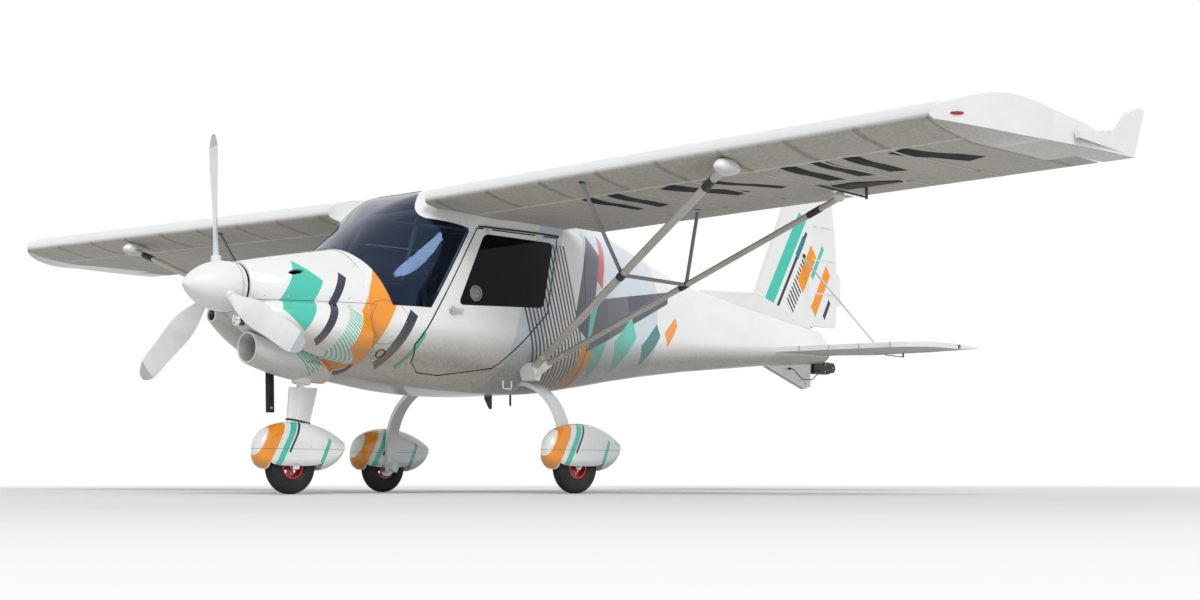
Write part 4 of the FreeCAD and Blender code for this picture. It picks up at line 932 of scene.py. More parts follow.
def covering(name, counted, first, pitch, bars=(), marks_below=(), dust=1.05):
    """White sailcloth over ribs, darker below from dusting and painted shade, with the ribs counted along one axis
    of the frame.

    Bars are sprayed on both sides, and black marks on the underside only.
    """
    made, tree, point = new_material(name)
    axes = split(tree, point)
    rib = use(tree, ribbed, {"Across": absolute(tree, axes[counted]), "First": first, "Pitch": pitch})
    colour = paint_over(tree, SHELL_WHITE, point, bars)
    # Painted shade with soiling: the darkening rises along each rib pocket.
    dirt_and_shade = plus(tree, dust, times(tree, rib["Pocket"], 0.25 * dust))
    skin = use(tree, dusted_and_shaded, {
        "Paint": colour, "Dust": wing_dust_and_shade, "Amount": dirt_and_shade, "Patch": 0.20 * dust, "Gloss": 0.34,
    })
    colour, shine = skin["Colour"], 0.4
    if marks_below:
        plan = add(tree, "CombineXYZ", {"X": axes["X"], "Z": axes["Y"]}).outputs[0]
        black = paint_over(tree, (0, 0, 0, 1), plan, [((1, 1, 1, 1), *mark) for mark in marks_below])
        shows = times(tree, black, less(tree, split(tree, coord(tree, "Normal"))["Z"], -0.2))
        colour = mix(tree, shows, colour, INK)
        shine = minus(tree, shine, times(tree, shows, 0.3))
    weave = noise(tree, stretched(tree, point, (2.2, 2.2, 2.2)), 420.0, 2.0)
    creases = noise(tree, point, 0.8, 1.0)
    height = plus(tree, times(tree, rib["Height"], 1.6), times(tree, weave, 0.012))
    height = plus(tree, height, times(tree, creases, 0.15))
    principled(tree, {
        "Base Color": colour, "Roughness": skin["Roughness"], "Normal": bump(tree, 0.5, 0.012, height),
        "Sheen Weight": 0.04, "Specular IOR Level": shine,
    })
    return made


# Rows: x, y, turn, length, width, and where it is needed the slant.
wing_marks = [
    (-1.14, -1.46, 4, 0.50, 0.10, 0.30), (-1.14, -1.66, 4, 0.50, 0.10, 0.30),
    (-1.14, -2.16, -22, 0.50, 0.15), (-1.14, -2.44, -22, 0.50, 0.08),
    (-1.14, -2.90, 4, 0.50, 0.10, -0.30), (-1.14, -3.10, 4, 0.50, 0.10, -0.30),
    (-1.14, -3.30, 4, 0.50, 0.10, -0.30), (-1.14, -3.68, -22, 0.50, 0.15),
]
rib_first, rib_pitch = 0.980, 0.432
wing_sail = covering("wing_sailcloth", "Y", rib_first, rib_pitch, marks_below=wing_marks)
flap_sail = covering("flap_sailcloth", "Y", rib_first, rib_pitch)
tip_bars = [(YELLOW, -0.66, 1.87, 60, 0.120, 0.030, 0.3), (YELLOW, -0.60, 1.87, 60, 0.120, 0.018, 0.3)]
dress("wing_tips", gelcoat("tip_gelcoat", tip_bars, dust=0.9))
dress("wing_hinges", bare_metal)
tape_cloth = satin("pocket_tape", (0.60, 0.59, 0.56), rough=0.6, scale=300, spread=0.2)
along_x, along_y, along_z = (1, 0, 0), (0, 1, 0), (0, 0, 1)


def tapes(name, node, body, axis, levels, trim=None, width=0.014, thickness=0.0009, material=tape_cloth):
    """Sewn tapes round a covered surface: bands of its own skin, thickened outwards."""
    bands = []
    for level in levels:
        band = skin_copy(node)
        keep_between(band, axis, level - width / 2, level + width / 2)
        if trim:
            keep_between(band, *trim)
        if band.faces:
            bands.append(thickened(band, -thickness))
    piece(name, bands, material, body, 60)


def span(side, inner, outer):
    """A band across one wing, as an axis and two levels."""
    return along_y, *sorted((side * inner, side * outer))


nose_back, flap_end, under_wing = -1.40, 2.65, 1.2
for side, word in SIDES:
    wing, flap, aileron = f"wing_{word}", f"flap_{word}", f"aileron_{word}"
    dress(wing, wing_sail)
    dress(flap, flap_sail)
    dress(aileron, flap_sail)
    ribs = [rib_first + k * rib_pitch for k in range(7)]
    inner = [side * y for y in ribs if y < flap_end]
    outer = [side * y for y in ribs if y > flap_end]
    wing_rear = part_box(wing)[1].x
    behind = (along_x, nose_back, wing_rear - 0.004)
    tapes(f"wing_pockets_{word}", wing, "airframe", along_y, inner + outer, behind, 0.016, 0.0010)
    tapes(f"nose_tape_{word}", wing, "airframe", along_x, [nose_back], span(side, 0.62, 3.99), 0.022, 0.0008)
    under = (along_x, -0.56, 0.5)
    tapes(f"flap_pockets_{word}", flap, flap, along_y, inner, under, 0.016)
    tapes(f"aileron_pockets_{word}", aileron, aileron, along_y, outer, under, 0.016)

    # The black cloth pocket over the aileron's bell crank.
    crank = skin_copy(wing)
    keep_between(crank, *span(side, 2.76, 3.12))
    keep_between(crank, along_x, -0.78, wing_rear - 0.003)
    cut(crank, (-0.78, side * 2.92, 0), Vector((-1, side * 0.62, 0)).normalized(), clear_outer=True)
    bmesh.ops.delete(crank, geom=[f for f in crank.faces if f.normal.z > -0.2], context="FACES")
    piece(f"crank_pocket_{word}", thickened(crank, -0.006), rubber, smooth=50)


def rod_between(start, end, radius, segments=12):
    """A plain round rod between two points."""
    start, end = Vector(start), Vector(end)
    rod = stud(radius, (end - start).length, segments)
    return moved(rod, Matrix.Translation((start + end) / 2) @ turned_to(along_z, end - start))


# The aileron rods: each leaves the wing ahead of the hinge and ends at a horn under the aileron.
for side, word in SIDES:
    aileron = f"aileron_{word}"
    start, _ = touch(surface(f"wing_{word}"), (-0.86, side * 2.70, under_wing), along_z)
    foot, _ = touch(surface(aileron), (-0.565, side * 2.84, under_wing), along_z)
    horn_tip = foot - Vector((0, 0, 0.055))
    horn = block((0.024, 0.005, 0.070), foot - Vector((0, 0, 0.030)), 0.0015, 1)
    piece(f"aileron_horn_{word}", horn, black_metal, aileron)
    rod = rod_between(start + Vector((0, 0, 0.004)), horn_tip, 0.005)
    long = [e for e in rod.edges if e.calc_length() > 0.1]
    bmesh.ops.subdivide_edges(rod, edges=long, cuts=11, use_grid_fill=True)
    rod_mesh = mesh_of(f"aileron_rod_{word}", rod)
    rod_mesh.materials.append(black_metal)
    pushrod = bpy.data.objects.new(f"aileron_rod_{word}", rod_mesh)
    bpy.context.scene.collection.objects.link(pushrod)
    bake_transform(pushrod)

# The position lights, red on the left and green on the right, let into the tips' leading edges.
for (side, word), colour in zip(SIDES, ((0.45, 0.02, 0.02), (0.02, 0.30, 0.08))):
    point, normal = touch(surface("wing_tips"), (-3.0, side * 4.10, 1.812), along_x)
    lens = moved(ball((0.034, 0.013, 0.009)), Matrix.Translation(point) @ turned_to(along_y, normal))
    piece(f"position_light_{word}", lens, smoked(f"position_lens_{word}", colour, 0.05))


# ---- lift struts -----------------------------------------------------------------------------------
# Streamlined aluminium tubes under cream paint, darkened to grey-beige as painted shade, pinned to brackets at the
# belly and the spars.
# Thin grey jury struts steady them halfway, clamped on by bands.

# Painted shade: the struts' cream paint is darkened to grey-beige, as they look from below in shade.
dress("lift_struts", satin("strut_paint", (0.47, 0.45, 0.39), rough=0.28, coat=0.4, scale=18))
dress("jury_struts", satin("jury_paint", (0.27, 0.28, 0.30), metallic=0.4, rough=0.4))
dress("strut_fittings", gelcoat("fitting_top_coat", dust=0.5))
fitting_skin = surface("strut_fittings")
for side, word in SIDES:
    for name, near, far, thickness, material in (
        ("head_sleeves", 2.520, 2.600, 0.0020, black_metal),
        ("jury_clamps", 1.640, 1.690, 0.0030, black_metal),
        ("foot_collars", 0.742, 0.775, 0.0025, bare_metal),
    ):
        band = skin_copy("lift_struts")
        keep_between(band, *span(side, near, far))
        piece(f"strut_{name}_{word}", thickened(band, -thickness), material, smooth=50)
    probes = [((x, side * y, under_wing), along_z) for x, y in ((-1.630, 1.675), (-0.648, 1.688))]
    feet = set_on(surface(f"wing_{word}"), probes, lambda: stud(0.024, 0.006, 24, top=0.017))
    piece(f"jury_feet_{word}", feet, black_metal)
    spots = ((-0.930, 0.776), (-0.846, 0.798), (-0.944, 0.720))
    bolts = set_on(
        fitting_skin, [from_side(side, x, z, 0.9) for x, z in spots], lambda: stud(0.009, 0.007, lift=0.0035),
    )
    piece(f"strut_bolts_{word}", bolts, steel, smooth=30)


# ---- main landing gear -----------------------------------------------------------------------------
# Sprung glass-fibre legs under white paint, free wheels with red rims and ribbed tyres, disc
# brakes on the inner sides, and spats moulded in halves.

tyre_rubber, tree, point = new_material("tyre_rubber")
scuff = noise(tree, point, 70.0, 8.0, 0.7)
earth = times(tree, ramp(tree, noise(tree, point, 9.0, 4.0), 0.42, 0.72, high=0.55), scuff)
principled(tree, {
    "Base Color": mix(tree, earth, (0.016, 0.016, 0.017, 1), (0.085, 0.078, 0.068, 1)),
    "Roughness": ramp(tree, scuff, 0.0, 1.0, 0.55, 0.85), "Normal": bump(tree, 0.35, 0.0012, scuff),
    "Specular IOR Level": 0.35,
})
rim_red = satin("rim_red", (0.58, 0.018, 0.016), rough=0.25, coat=0.5)

# Half a tyre's section, from the crown to the bead: the ribs stand between plain grooves.
half_tyre = [
    (0.0035, 0.1650), (0.0045, 0.1610), (0.0085, 0.1610), (0.0095, 0.1647), (0.0155, 0.1643), (0.0165, 0.1605),
    (0.0205, 0.1603), (0.0215, 0.1626), (0.0280, 0.1606), (0.0350, 0.1560), (0.0400, 0.1490), (0.0435, 0.1400),
    (0.0448, 0.1300), (0.0450, 0.1150), (0.0446, 0.1040), (0.0430, 0.0985), (0.0405, 0.0955), (0.0375, 0.0890),
    (0.0320, 0.0805), (0.0282, 0.0768),
]
tyre_section = half_tyre + [(-y, r) for y, r in reversed(half_tyre)]
bolt_circle, disc_y, disc_half = 0.046, 0.0405, 0.0018


def wheel(word, tyre_node, rim_node, body, brake_side=0):
    """One wheel: its ribbed tyre, bolts, valve and hub cap, and a brake disc where it has one."""
    low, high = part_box(tyre_node)
    centre = (low + high) / 2
    tyre = piece(f"tyre_{word}", moved(lathe(tyre_section, 1, 56, closed=True), centre), tyre_rubber, body, 35)
    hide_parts(tyre_node)
    dress(rim_node, rim_red)
    bolts = []
    for k in range(4):
        a = pi / 2 * k
        for side in (-1, 1):
            place = centre + Vector((bolt_circle * cos(a), side * 0.0065, bolt_circle * sin(a)))
            bolts.append(moved(stud(0.0055, 0.006), Matrix.Translation(place) @ turn_about("X", 90)))
    piece(f"rim_bolts_{word}", bolts, steel, body, 30)
    cap = [(0.0355, 0.0105), (0.0355, 0.0245), (0.0375, 0.0235), (0.0385, 0.0200), (0.0385, 0.0105)]
    back = [(-0.0355, 0.0105), (-0.0385, 0.0105), (-0.0385, 0.0225), (-0.0355, 0.0245)]
    valve = rod_between((0.058, 0.004, 0.0), (0.062, 0.020, 0.0), 0.003, 10)
    hub = joined([lathe(cap, 1, 32, closed=True), lathe(back, 1, 32, closed=True), valve])
    piece(f"hub_caps_{word}", moved(hub, centre), bare_metal, body)
    if brake_side:
        near, far = brake_side * disc_y - disc_half, brake_side * disc_y + disc_half
        disc = lathe([(near, 0.024), (near, 0.0590), (far, 0.0590), (far, 0.024)], 1, 48, closed=True)
        piece(f"brake_disc_{word}", moved(disc, centre), steel, body)
    return centre


leg_paint = gelcoat("leg_top_coat", dust=0.45)
dress("main_legs", leg_paint)
spat_bars = [
    (ORANGE, -1.020, 0.330, 62, 0.40, 0.085, 0.2),
    (TURQUOISE, -0.925, 0.300, 62, 0.40, 0.040, 0.2),
    (NAVY, -0.870, 0.330, 62, 0.20, 0.016, 0.2),
    (TURQUOISE, -0.640, 0.250, 62, 0.16, 0.030, 0.2),
]
nose_ahead = 1.465
nose_bars = [(paint, x - nose_ahead, *shape) for paint, x, *shape in spat_bars]
dress("main_spats", gelcoat("spat_gelcoat", spat_bars, dust=0.5))
dress("nose_spat", gelcoat("nose_spat_gelcoat", nose_bars, dust=0.5))
for side, word in SIDES:
    hub = wheel(word, f"main_tyre_{word}", f"main_rim_{word}", f"main_wheel_{word}", -side)

    # The brake caliper, on a plate bolted to the leg's foot, straddling the disc behind the axle.
    caliper = block((0.030, 0.009, 0.046), hub + Vector((0.048, side * -0.053, 0.004)), 0.003)
    arm = block((0.046, 0.004, 0.026), hub + Vector((0.032, side * -0.058, 0.004)))
    piece(f"brake_caliper_{word}", [caliper, arm], bare_metal)

# Each spat's two halves meet in a level seam, with screws along it.
seam_z, screw_z = 0.262, 0.276
screw_xs = (-0.19, -0.10, 0.10, 0.19)
beaded("spat_seams", cut_line("main_spats", (0, 0, seam_z), along_z), 0.0009)
spat_skin = surface("main_spats")
for side, word in SIDES:
    for way, place in ((side, "outer"), (-side, "inner")):
        probes = [((-0.86 + x, side * 0.885 + way * 0.2, screw_z), (0, -way, 0)) for x in screw_xs]
        screws(f"spat_screws_{place}_{word}", spat_skin, probes, 0.004)


# ---- nose landing gear -----------------------------------------------------------------------------
# A steered leg with a streamlined fairing over its stem, sprung by rubber discs in the cowling's socket,
# and a fork, wheel and spat like the main ones. A rubber boot closes the hole in the spat.

dress("nose_leg", leg_paint)
wheel("nose", "nose_tyre", "nose_rim", "nose_wheel")
beaded("nose_spat_seam", cut_line("nose_spat", (0, 0, seam_z), along_z), 0.0009, "nose_leg")
nose_skin = surface("nose_spat")
for side, word in SIDES:
    probes = [from_side(side, -2.325 + x, screw_z, 0.3) for x in screw_xs]
    screws(f"nose_spat_screws_{word}", nose_skin, probes, 0.004, "nose_leg")
beaded("leg_boot", cut_line("nose_leg", (-2.3, 0, 0.428), (0.14, 0, 1)), 0.0055, "nose_leg", rubber, 3)


# ---- tail ------------------------------------------------------------------------------------------
# Flat tube frames covered in the same sailcloth: stabilisers braced to the fin by two aluminium tubes,
# a one-piece elevator with a trim tab on its left side, and a rudder with a bent metal tab.

tail_first, tail_pitch, fin_first, fin_pitch = 0.34, 0.245, 1.52, 0.26
tail_sail = covering("stabiliser_sailcloth", "Y", tail_first, tail_pitch)
fin_bars = [
    (TURQUOISE, 2.300, 1.640, 58, 1.10, 0.110),
    (NAVY, 2.400, 1.600, 58, 0.90, 0.030),
    (INK, 2.520, 1.560, 58, 0.42, 0.120, 0.4, 0.0, 0.036),
    (ORANGE, 2.640, 1.700, 58, 0.34, 0.110, 0.4),
    (TEAL, 2.560, 1.860, 58, 0.18, 0.050, 0.4),
    (ORANGE, 2.820, 1.540, 58, 0.40, 0.090, 0.4),
    (TURQUOISE, 2.780, 1.760, 58, 0.30, 0.040, 0.4),
    (NAVY, 2.900, 1.400, 58, 0.16, 0.040, 0.4),
]
fin_sail = covering("fin_sailcloth", "Z", fin_first, fin_pitch, fin_bars, dust=0.25)
for name, material in (
    ("stabilisers", tail_sail), ("elevator", tail_sail), ("fin", fin_sail), ("rudder", fin_sail),
    ("tail_braces", bare_metal), ("tail_hinges", black_metal),
):
    dress(name, material)
for side, word in SIDES:
    levels = [side * (tail_first + tail_pitch * k) for k in range(4)]
    tapes(f"stabiliser_pockets_{word}", "stabilisers", "airframe", along_y, levels)
    tapes(f"elevator_pockets_{word}", "elevator", "elevator", along_y, levels, (along_x, 2.762, 3.094))
fin_tape = satin("fin_tape", (0.80, 0.80, 0.80), rough=0.6, scale=300, spread=0.2)
levels = [fin_first + fin_pitch * k for k in range(3)]
tapes("rudder_pockets", "rudder", "rudder", along_z, levels, (along_x, 2.722, 3.02), material=fin_tape)

# The trim tab let into the left half of the elevator: its outline, and its rod and horn underneath.
elevator_skin = surface("elevator")
tab_front, tab_rear, tab_in, tab_out, side_steps = 2.945, 3.070, -0.42, -0.92, 8
corners = [(tab_rear, tab_in), (tab_front, tab_in), (tab_front, tab_out), (tab_rear, tab_out)]
spots = [
    (x0 + (x1 - x0) * k / side_steps, y0 + (y1 - y0) * k / side_steps)
    for (x0, y0), (x1, y1) in zip(corners, corners[1:]) for k in range(side_steps)
] + corners[-1:]
for way, word in ((1, "above"), (-1, "below")):
    outline = bmesh.new()
    found = [touch(elevator_skin, (x, y, 1.045 + way * 0.3), (0, 0, -way)) for x, y in spots]
    chained(outline, [f[0] for f in found if f])
    beaded(f"trim_tab_gap_{word}", outline, 0.0016, "elevator")
tab_rod = rod_between((2.80, -0.62, 1.018), (2.985, -0.66, 1.008), 0.0035, 10)
piece("trim_tab_rod", [tab_rod, block((0.018, 0.004, 0.034), (2.985, -0.66, 1.022))], black_metal, "elevator")

# Brace ends: flattened tangs, bolted through the fin and the stabilisers.
fin_skin, tail_skin, tangs = surface("fin"), surface("stabilisers"), []
for side, _ in SIDES:
    for skin, probe in (
        (fin_skin, from_side(side, 2.604, 1.795, 0.4)), (tail_skin, ((2.299, side * 0.890, 1.4), (0, 0, -1))),
    ):
        tangs += set_on(skin, [probe], lambda: stud(0.022, 0.004, 24, top=0.020))
piece("brace_tangs", tangs, black_metal)

# The red beacon's two small lenses beside the rudder's top hinge.
probes = [from_side(side, 2.655, 2.285, 0.4) for side, _ in SIDES]
domes = set_on(fin_skin, probes, lambda: ball((0.014, 0.014, 0.009), 20, 10))
piece("beacon", domes, smoked("beacon_lens", (0.55, 0.02, 0.02), 0.05))


# ---- tow release, cable, loops and aerials ---------------------------------------------------------
# A steel glider-tow hook is bolted behind the tail cone, and its sheathed release cable runs forward
# along the left side. Bent rods make the tie-down loops, and two aerials stand under the belly.

dress("tow_release", black_metal)
dress("release_cable", satin("cable_sheath", (0.014, 0.014, 0.014), rough=0.5, scale=500))
dress("belly_aerials", satin("aerial_plastic", (0.02, 0.02, 0.02), rough=0.4, scale=200))
dress("tie_down_loops", plain_white)
spots = ((2.83, 0.915), (2.83, 0.965), (2.935, 0.945), (3.035, 0.965))
probes = [from_side(side, x, z, 0.2) for side, _ in SIDES for x, z in spots]
heads = set_on(surface("tow_release"), probes, lambda: stud(0.006, 0.005, lift=0.0025))
piece("hook_bolts", heads, steel, smooth=30)
piece("cable_gland", rod_between((2.383, -0.030, 0.918), (2.383, -0.048, 0.918), 0.008, 20), rubber)


# ---- instrument panel ------------------------------------------------------------------------------
# A powder-coated aluminium sheet with round gauges, a screen, switches and two push-pull knobs. A
# padded glare shield covers it from ahead.

dress("instrument_panel", satin("panel_coat", (0.035, 0.036, 0.038), rough=0.55, scale=700, spread=0.25))
dial_face = satin("dial_face", (0.012, 0.012, 0.012), rough=0.6, scale=400)
dial_mark = satin("dial_mark", (0.75, 0.75, 0.72), rough=0.5, scale=400)
screen_glass = smoked("screen_glass", (0.02, 0.03, 0.04), 0.06)
panel_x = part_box("instrument_panel")[1].x
bezels, faces, marks = [], [], []
gauges = [(y, z, 0.040) for y in (-0.345, -0.245, 0.345) for z in (1.185, 1.085)]
gauges += [(0.215, 1.200, 0.029), (0.215, 1.130, 0.029), (0.215, 1.060, 0.029), (0.445, 1.160, 0.029)]
for y, z, radius in gauges:
    place = Matrix.Translation((panel_x, y, z))
    lay = place @ turn_about("Y", 90)
    rim = [
        (0.0003, radius - 0.004), (0.005, radius - 0.004), (0.006, radius), (0.0003, radius + 0.003),
        (0.0003, radius - 0.004),
    ]
    bezels.append(moved(lathe(rim, 0), place))
    face = bmesh.new()
    bmesh.ops.create_circle(face, cap_ends=True, radius=radius - 0.0035, segments=40)
    faces.append(moved(face, lay @ Matrix.Translation((0, 0, 0.0016))))
    for k in range(11):
        reach = turn_about("Z", -50 + 28 * k) @ Matrix.Translation((0, radius * 0.72, 0.0020))
        marks.append(moved(block((0.0012, radius * 0.18, 0.0006)), lay @ reach))
    reach = turn_about("Z", 90 + 360 * (y + z)) @ Matrix.Translation((0, radius * 0.28, 0.0028))
    marks.append(moved(stud(0.0022, radius * 0.75, 4, top=0.0006), lay @ reach @ turn_about("X", -90)))
piece("gauge_bezels", bezels, black_metal)
piece("gauge_faces", faces, dial_face)
piece("gauge_marks", marks, dial_mark)


def slab(low, high, bevel, segments=2):
    """A block between two corners with rounded edges."""
    low, high = Vector(low), Vector(high)
    return block(high - low, (high + low) / 2, bevel, segments)


piece("screen_case", slab((panel_x, -0.155, 1.070), (panel_x + 0.016, 0.135, 1.235), 0.005), black_metal)
piece("screen", slab((panel_x + 0.014, -0.140, 1.088), (panel_x + 0.0172, 0.120, 1.222), 0.001), screen_glass)
switches = []
for k in range(7):
    y = -0.130 + k * 0.042
    switches.append(slab((panel_x, y - 0.007, 1.030), (panel_x + 0.004, y + 0.007, 1.052), 0.001))
    switches.append(rod_between((panel_x + 0.002, y, 1.041), (panel_x + 0.017, y, 1.046), 0.0028, 10))
piece("panel_switches", switches, steel)
knobs = []
for y, z, wide in ((-0.040, 1.008, 0.014), (0.040, 1.008, 0.010)):
    head = lathe([(0.0, 0.0), (0.002, wide), (0.008, wide * 1.05), (0.016, wide * 0.9), (0.018, 0.0)], 0, 24)
    knobs += [rod_between((panel_x, y, z), (panel_x + 0.050, y, z), 0.0035), moved(head, (panel_x + 0.046, y, z))]
piece("push_pull_knobs", knobs, black_metal)

shield_top, shield_half, columns = 1.262, 0.40, 16
shield = bmesh.new()
back_row, front_row = [], []
for k in range(columns + 1):
    share = 2 * k / columns - 1
    y, z = shield_half * share, shield_top - 0.030 * share ** 4
    back_row.append((-1.765, y, z - 0.002))
    front_row.append((-2.030 + 0.10 * share ** 2, y, z - 0.010))
bmesh.ops.bridge_loops(shield, edges=chained(shield, back_row)[1] + chained(shield, front_row)[1])
shield = outward(thickened(outward(shield), 0.008))
piece("glare_shield", shield, satin("shield_cloth", (0.018, 0.018, 0.019), rough=0.85, scale=500, spread=0.3))


# ---- stick, seat base and overhead tubes -----------------------------------------------------------
# One stick stands between the seats, with a foam grip and two buttons. The seats stand on a moulded
# tunnel, and painted steel tubes carry the wing's load over the cabin.

dress("overhead_frame", satin("frame_paint", (0.20, 0.205, 0.21), rough=0.35, coat=0.3, scale=60))
dress("seat_base", satin("tunnel_finish", (0.11, 0.112, 0.115), rough=0.6, scale=260, spread=0.25))
dress("control_stick", black_metal)
stick_x, stick_top = -1.486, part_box("control_stick")[1].z
grip = lathe([
    (0.0, 0.0145), (0.003, 0.0175), (0.010, 0.0168), (0.024, 0.0185), (0.038, 0.0172), (0.052, 0.0188),
    (0.066, 0.0172), (0.080, 0.0186), (0.094, 0.0172), (0.104, 0.0190), (0.110, 0.0150), (0.113, 0.0),
], 0, 28)
upright = turn_about("Y", -90)
piece("stick_grip", moved(grip, Matrix.Translation((stick_x, 0, stick_top - 0.112)) @ upright), rubber)
buttons = []
for way in (-1, 1):
    foot = Vector((stick_x + 0.002, way * 0.008, stick_top))
    buttons.append(rod_between(foot, foot + Vector((0, 0, 0.006)), 0.004))
piece("stick_buttons", buttons, rim_red)


# ---- seats -----------------------------------------------------------------------------------------
# Each seat is a thin moulded shell under two foam cushions in woven cloth, sewn in channels and edged
# with piping. Four webbing straps meet at a turning buckle.

seat_cloth, tree, point = new_material("seat_cloth")
warp, weft = (
    add(tree, "TexWave", {"Vector": point, "Scale": 190.0, "Distortion": 0.6}, bands_direction=way).outputs["Fac"]
    for way in ("Y", "DIAGONAL")
)
woven = times(tree, warp, weft)
worn = noise(tree, point, 9.0, 5.0)
shade = times(tree, plus(tree, 0.55, times(tree, woven, 0.6)), worn)
principled(tree, {
    "Base Color": mix(tree, shade, (0.045, 0.050, 0.058, 1), (0.150, 0.160, 0.175, 1)),
    "Roughness": ramp(tree, worn, 0.0, 1.0, 0.80, 0.95), "Normal": bump(tree, 0.45, 0.0010, woven),
    "Sheen Weight": 0.25,
})
piping_cloth = satin("piping_cloth", (0.030, 0.032, 0.036), rough=0.8, scale=900, spread=0.2)
shell_finish = satin("seat_shell_finish", (0.040, 0.040, 0.042), rough=0.35, scale=220, coat=0.4)
webbing = satin("webbing", (0.016, 0.020, 0.030), rough=0.75, scale=800, spread=0.25)
swell_cap, swell_steps = 0.016, 20


def evaluated(thing):
    """A new mesh of an object with its modifiers worked out."""
    return bpy.data.meshes.new_from_object(thing.evaluated_get(bpy.context.evaluated_depsgraph_get()))


def puffed(form):
    """A form swollen by air under cloth, with how far any point may move capped."""
    soft = bpy.data.objects.new("cushion", mesh_of("cushion", form))
    bpy.context.scene.collection.objects.link(soft)
    remesh = soft.modifiers.new("voxels", "REMESH")
    remesh.mode = "VOXEL"
    remesh.voxel_size = 0.0075
    start = evaluated(soft)
    soft.modifiers.clear()
    soft.data = start
    cloth = soft.modifiers.new("cloth", "CLOTH")
    cloth.settings.use_pressure = True
    cloth.settings.uniform_pressure_force = 4.0
    cloth.settings.effector_weights.gravity = 0.0
    cloth.settings.tension_stiffness = 15.0
    cloth.settings.compression_stiffness = 15.0
    cloth.point_cache.frame_start = 1
    cloth.point_cache.frame_end = swell_steps
    for step in range(1, swell_steps + 1):
        bpy.context.scene.frame_set(step)
    swollen = evaluated(soft)
    bpy.context.scene.frame_set(1)
    soft.modifiers.clear()
    for vert, swelled in zip(start.vertices, swollen.vertices):
        way = swelled.co - vert.co
        if way.length > swell_cap:
            way = way.normalized() * swell_cap
        vert.co = vert.co + way
    grown = bmesh.new()
    grown.from_mesh(start)
    bpy.data.objects.remove(soft)
    bmesh.ops.smooth_vert(grown, verts=grown.verts, factor=0.5, use_axis_x=True, use_axis_y=True, use_axis_z=True)
    return grown


def cushion(low, high, up, lines, along, foot, lean):
    """A rounded pad, swollen, with sewn channels pressed into its face, and leaned back about its foot."""
    half_width, depth, face = 0.011, 0.006, Vector(up)
    pad = puffed(slab(low, high, 0.016, 3))
    pad.normal_update()
    for vert in pad.verts:
        gap = min(abs(vert.co[along] - line) for line in lines)
        if vert.normal.dot(face) > 0.35 and gap < half_width:
            vert.co -= face * depth * (0.5 + 0.5 * cos(pi * gap / half_width))
    turn = Matrix.Rotation(lean, 4, "Y")
    return moved(pad, Matrix.Translation(foot) @ turn @ Matrix.Translation(-Vector(foot)))


seat_middle = 0.26
pads = {
    "pan": cushion(
        (-1.346, 0.056, 0.818), (-0.972, 0.464, 0.866), along_z,
        [seat_middle + 0.088 * k for k in (-1.5, -0.5, 0.5, 1.5)], 1, (-1.346, seat_middle, 0.84), 0.060,
    ),
    "back": cushion(
        (-0.936, 0.058, 0.880), (-0.884, 0.462, 1.438), (-1, 0, 0),
        [1.00, 1.10, 1.20, 1.30], 2, (-0.930, seat_middle, 0.880), 0.176,
    ),
}
pads = {part: mesh_of(part, form) for part, form in pads.items()}
pads_skin = bmesh.new()
for mesh in pads.values():
    pads_skin.from_mesh(mesh)
pads_tree = BVHTree.FromBMesh(pads_skin)
pads_skin.free()
downward, rearward = Vector((0, 0, -1)), Vector(along_x)
above_pads, ahead_of_pads = 1.2, -1.6
shell_half, buckle_half, shoulder_steps, lap_steps = 0.208, 0.030, 33, 19


def strap(route, across, width=0.044, thickness=0.0016):
    """A flat band of webbing along a route, lying on its flat side."""
    band = bmesh.new()
    half = Vector(across) * width / 2
    rows = [(band.verts.new(p - half), band.verts.new(p + half)) for p in route]
    for (a, b), (c, d) in zip(rows, rows[1:]):
        band.faces.new((a, b, d, c))
    return outward(thickened(outward(band), thickness))


def over_pads(start, ray, slip):
    """How far along a ray the pads are first met by three probes side by side."""
    hits = [pads_tree.ray_cast(Vector(start) + Vector(slip) * k, ray)[0] for k in (-1, 0, 1)]
    return min((hit.dot(ray) for hit in hits if hit), default=None)


def rounded(a0, b0, a1, b1, radius=0.020, step=0.02):
    """Points close together round a rectangle with rounded corners."""
    ring = []
    for a, b, begin in (
        (a1 - radius, b1 - radius, 0), (a0 + radius, b1 - radius, 90), (a0 + radius, b0 + radius, 180),
        (a1 - radius, b0 + radius, 270),
    ):
        turns = [radians(begin + 22.5 * k) for k in range(5)]
        ring += [(a + radius * cos(turn), b + radius * sin(turn)) for turn in turns]
    dense = []
    for (a, b), (c, d) in zip(ring, ring[1:] + ring[:1]):
        steps = max(1, int(((c - a) ** 2 + (d - b) ** 2) ** 0.5 / step))
        dense += [(a + (c - a) * k / steps, b + (d - b) * k / steps) for k in range(steps)]
    return dense


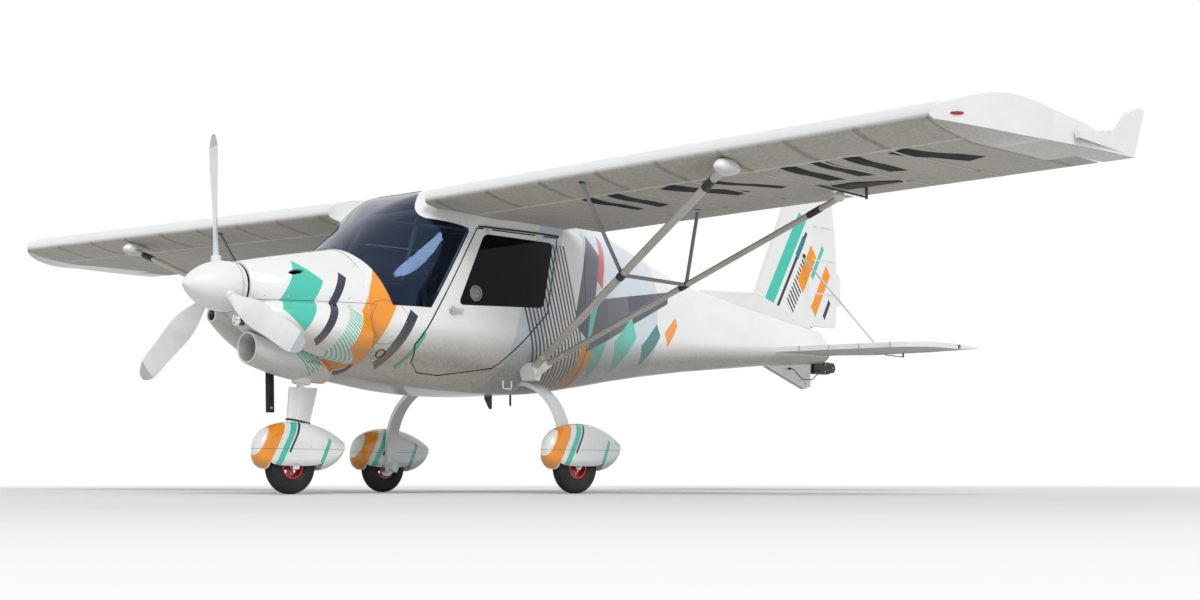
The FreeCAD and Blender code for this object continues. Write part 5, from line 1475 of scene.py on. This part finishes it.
shell_profile = [
    (-1.356, 0.806), (-1.160, 0.8055), (-0.980, 0.8055), (-0.905, 0.830), (-0.868, 0.920), (-0.820, 1.180),
    (-0.776, 1.400), (-0.764, 1.436),
]
for side, word in SIDES:
    middle = side * seat_middle
    to_seat = Vector((0, middle - seat_middle, 0))
    for part, pad_mesh in pads.items():
        mesh = pad_mesh.copy()
        mesh.transform(Matrix.Translation(to_seat))
        pad = finished(f"seat_{part}_{word}", mesh, seat_cloth, smooth=75)
        finer = pad.modifiers.new("finer", "SUBSURF")
        finer.levels = finer.render_levels = 1
        if (part, word) == ("pan", "left"):
            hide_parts("seats")

    # The shell behind and under the cushions, bent from one moulding.
    shell = bmesh.new()
    _, edges = chained(shell, [(x, middle - shell_half, z) for x, z in shell_profile])
    swept = bmesh.ops.extrude_edge_only(shell, edges=edges)["geom"]
    swept = [v for v in swept if isinstance(v, bmesh.types.BMVert)]
    bmesh.ops.translate(shell, verts=swept, vec=(0, 2 * shell_half, 0))
    corners = [v for v in shell.verts if len(v.link_edges) == 2]
    bmesh.ops.bevel(shell, geom=corners, offset=0.035, affect="VERTICES", segments=6, profile=0.5, material=-1)
    piece(f"seat_shell_{word}", outward(thickened(outward(shell), 0.005)), shell_finish, smooth=30)

    # Shoulder straps over the back, lap straps from the tunnel, and the turning buckle.
    bands = []
    buckle = Vector((-1.045, seat_middle, above_pads))
    buckle = pads_tree.ray_cast(buckle, downward)[0] + to_seat + Vector((0, 0, 0.014))
    for way in (-1, 1):
        route = [Vector((-0.752, middle + way * 0.070, 1.400)), Vector((-0.770, middle + way * 0.072, 1.4385))]
        for k in range(shoulder_steps + 1):
            share = k / shoulder_steps
            y, z = seat_middle + way * (0.075 * (1 - share) + buckle_half * share), 1.425 - share * 0.510
            proud = over_pads((ahead_of_pads, y, z), rearward, (0, 0, 0.014))
            if proud is not None:
                route.append(Vector((proud - 0.003, y, z + 0.003)) + to_seat)
        route.append(buckle + Vector((buckle_half, way * 0.012, 0.004)))
        bands.append(strap(route, along_y))
        route = [Vector((-0.975, middle + way * 0.205, 0.830))]
        for k in range(lap_steps + 1):
            share = k / lap_steps
            x, y = -0.985 - 0.055 * share, seat_middle + way * (0.192 * (1 - share) + buckle_half * share)
            proud = over_pads((x, y, above_pads), downward, (0, 0.014, 0))
            if proud is not None:
                route.append(Vector((x, y, 0.004 - proud)) + to_seat)
        bands.append(strap(route, along_x))
    piece(f"harness_{word}", bands, webbing, smooth=50)
    lock = [(-0.009, 0.0), (-0.009, 0.026), (-0.005, 0.029), (0.004, 0.029), (0.009, 0.024), (0.010, 0.0)]
    lock = moved(lathe(lock, 0, 36), upright)
    bar = slab((-0.019, -0.0035, 0.009), (0.019, 0.0035, 0.015), 0.0015)
    piece(f"harness_buckle_{word}", moved(joined([lock, bar]), buckle), steel)

    # Piping sewn round the top of the pan cushion and the front of the back cushion.
    rims = bmesh.new()
    top = [(Vector((x, y, above_pads)), downward) for x, y in rounded(-1.330, 0.078, -0.988, 0.442)]
    front = [(Vector((ahead_of_pads, y, z)), rearward) for z, y in rounded(0.900, 0.082, 1.404, 0.438)]
    for row in (top, front):
        hits = [pads_tree.ray_cast(*probe)[0] for probe in row]
        chained(rims, [hit + to_seat for hit in hits if hit], closed=True)
    beaded(f"seat_piping_{word}", rims, 0.0032, material=piping_cloth, sides=2)
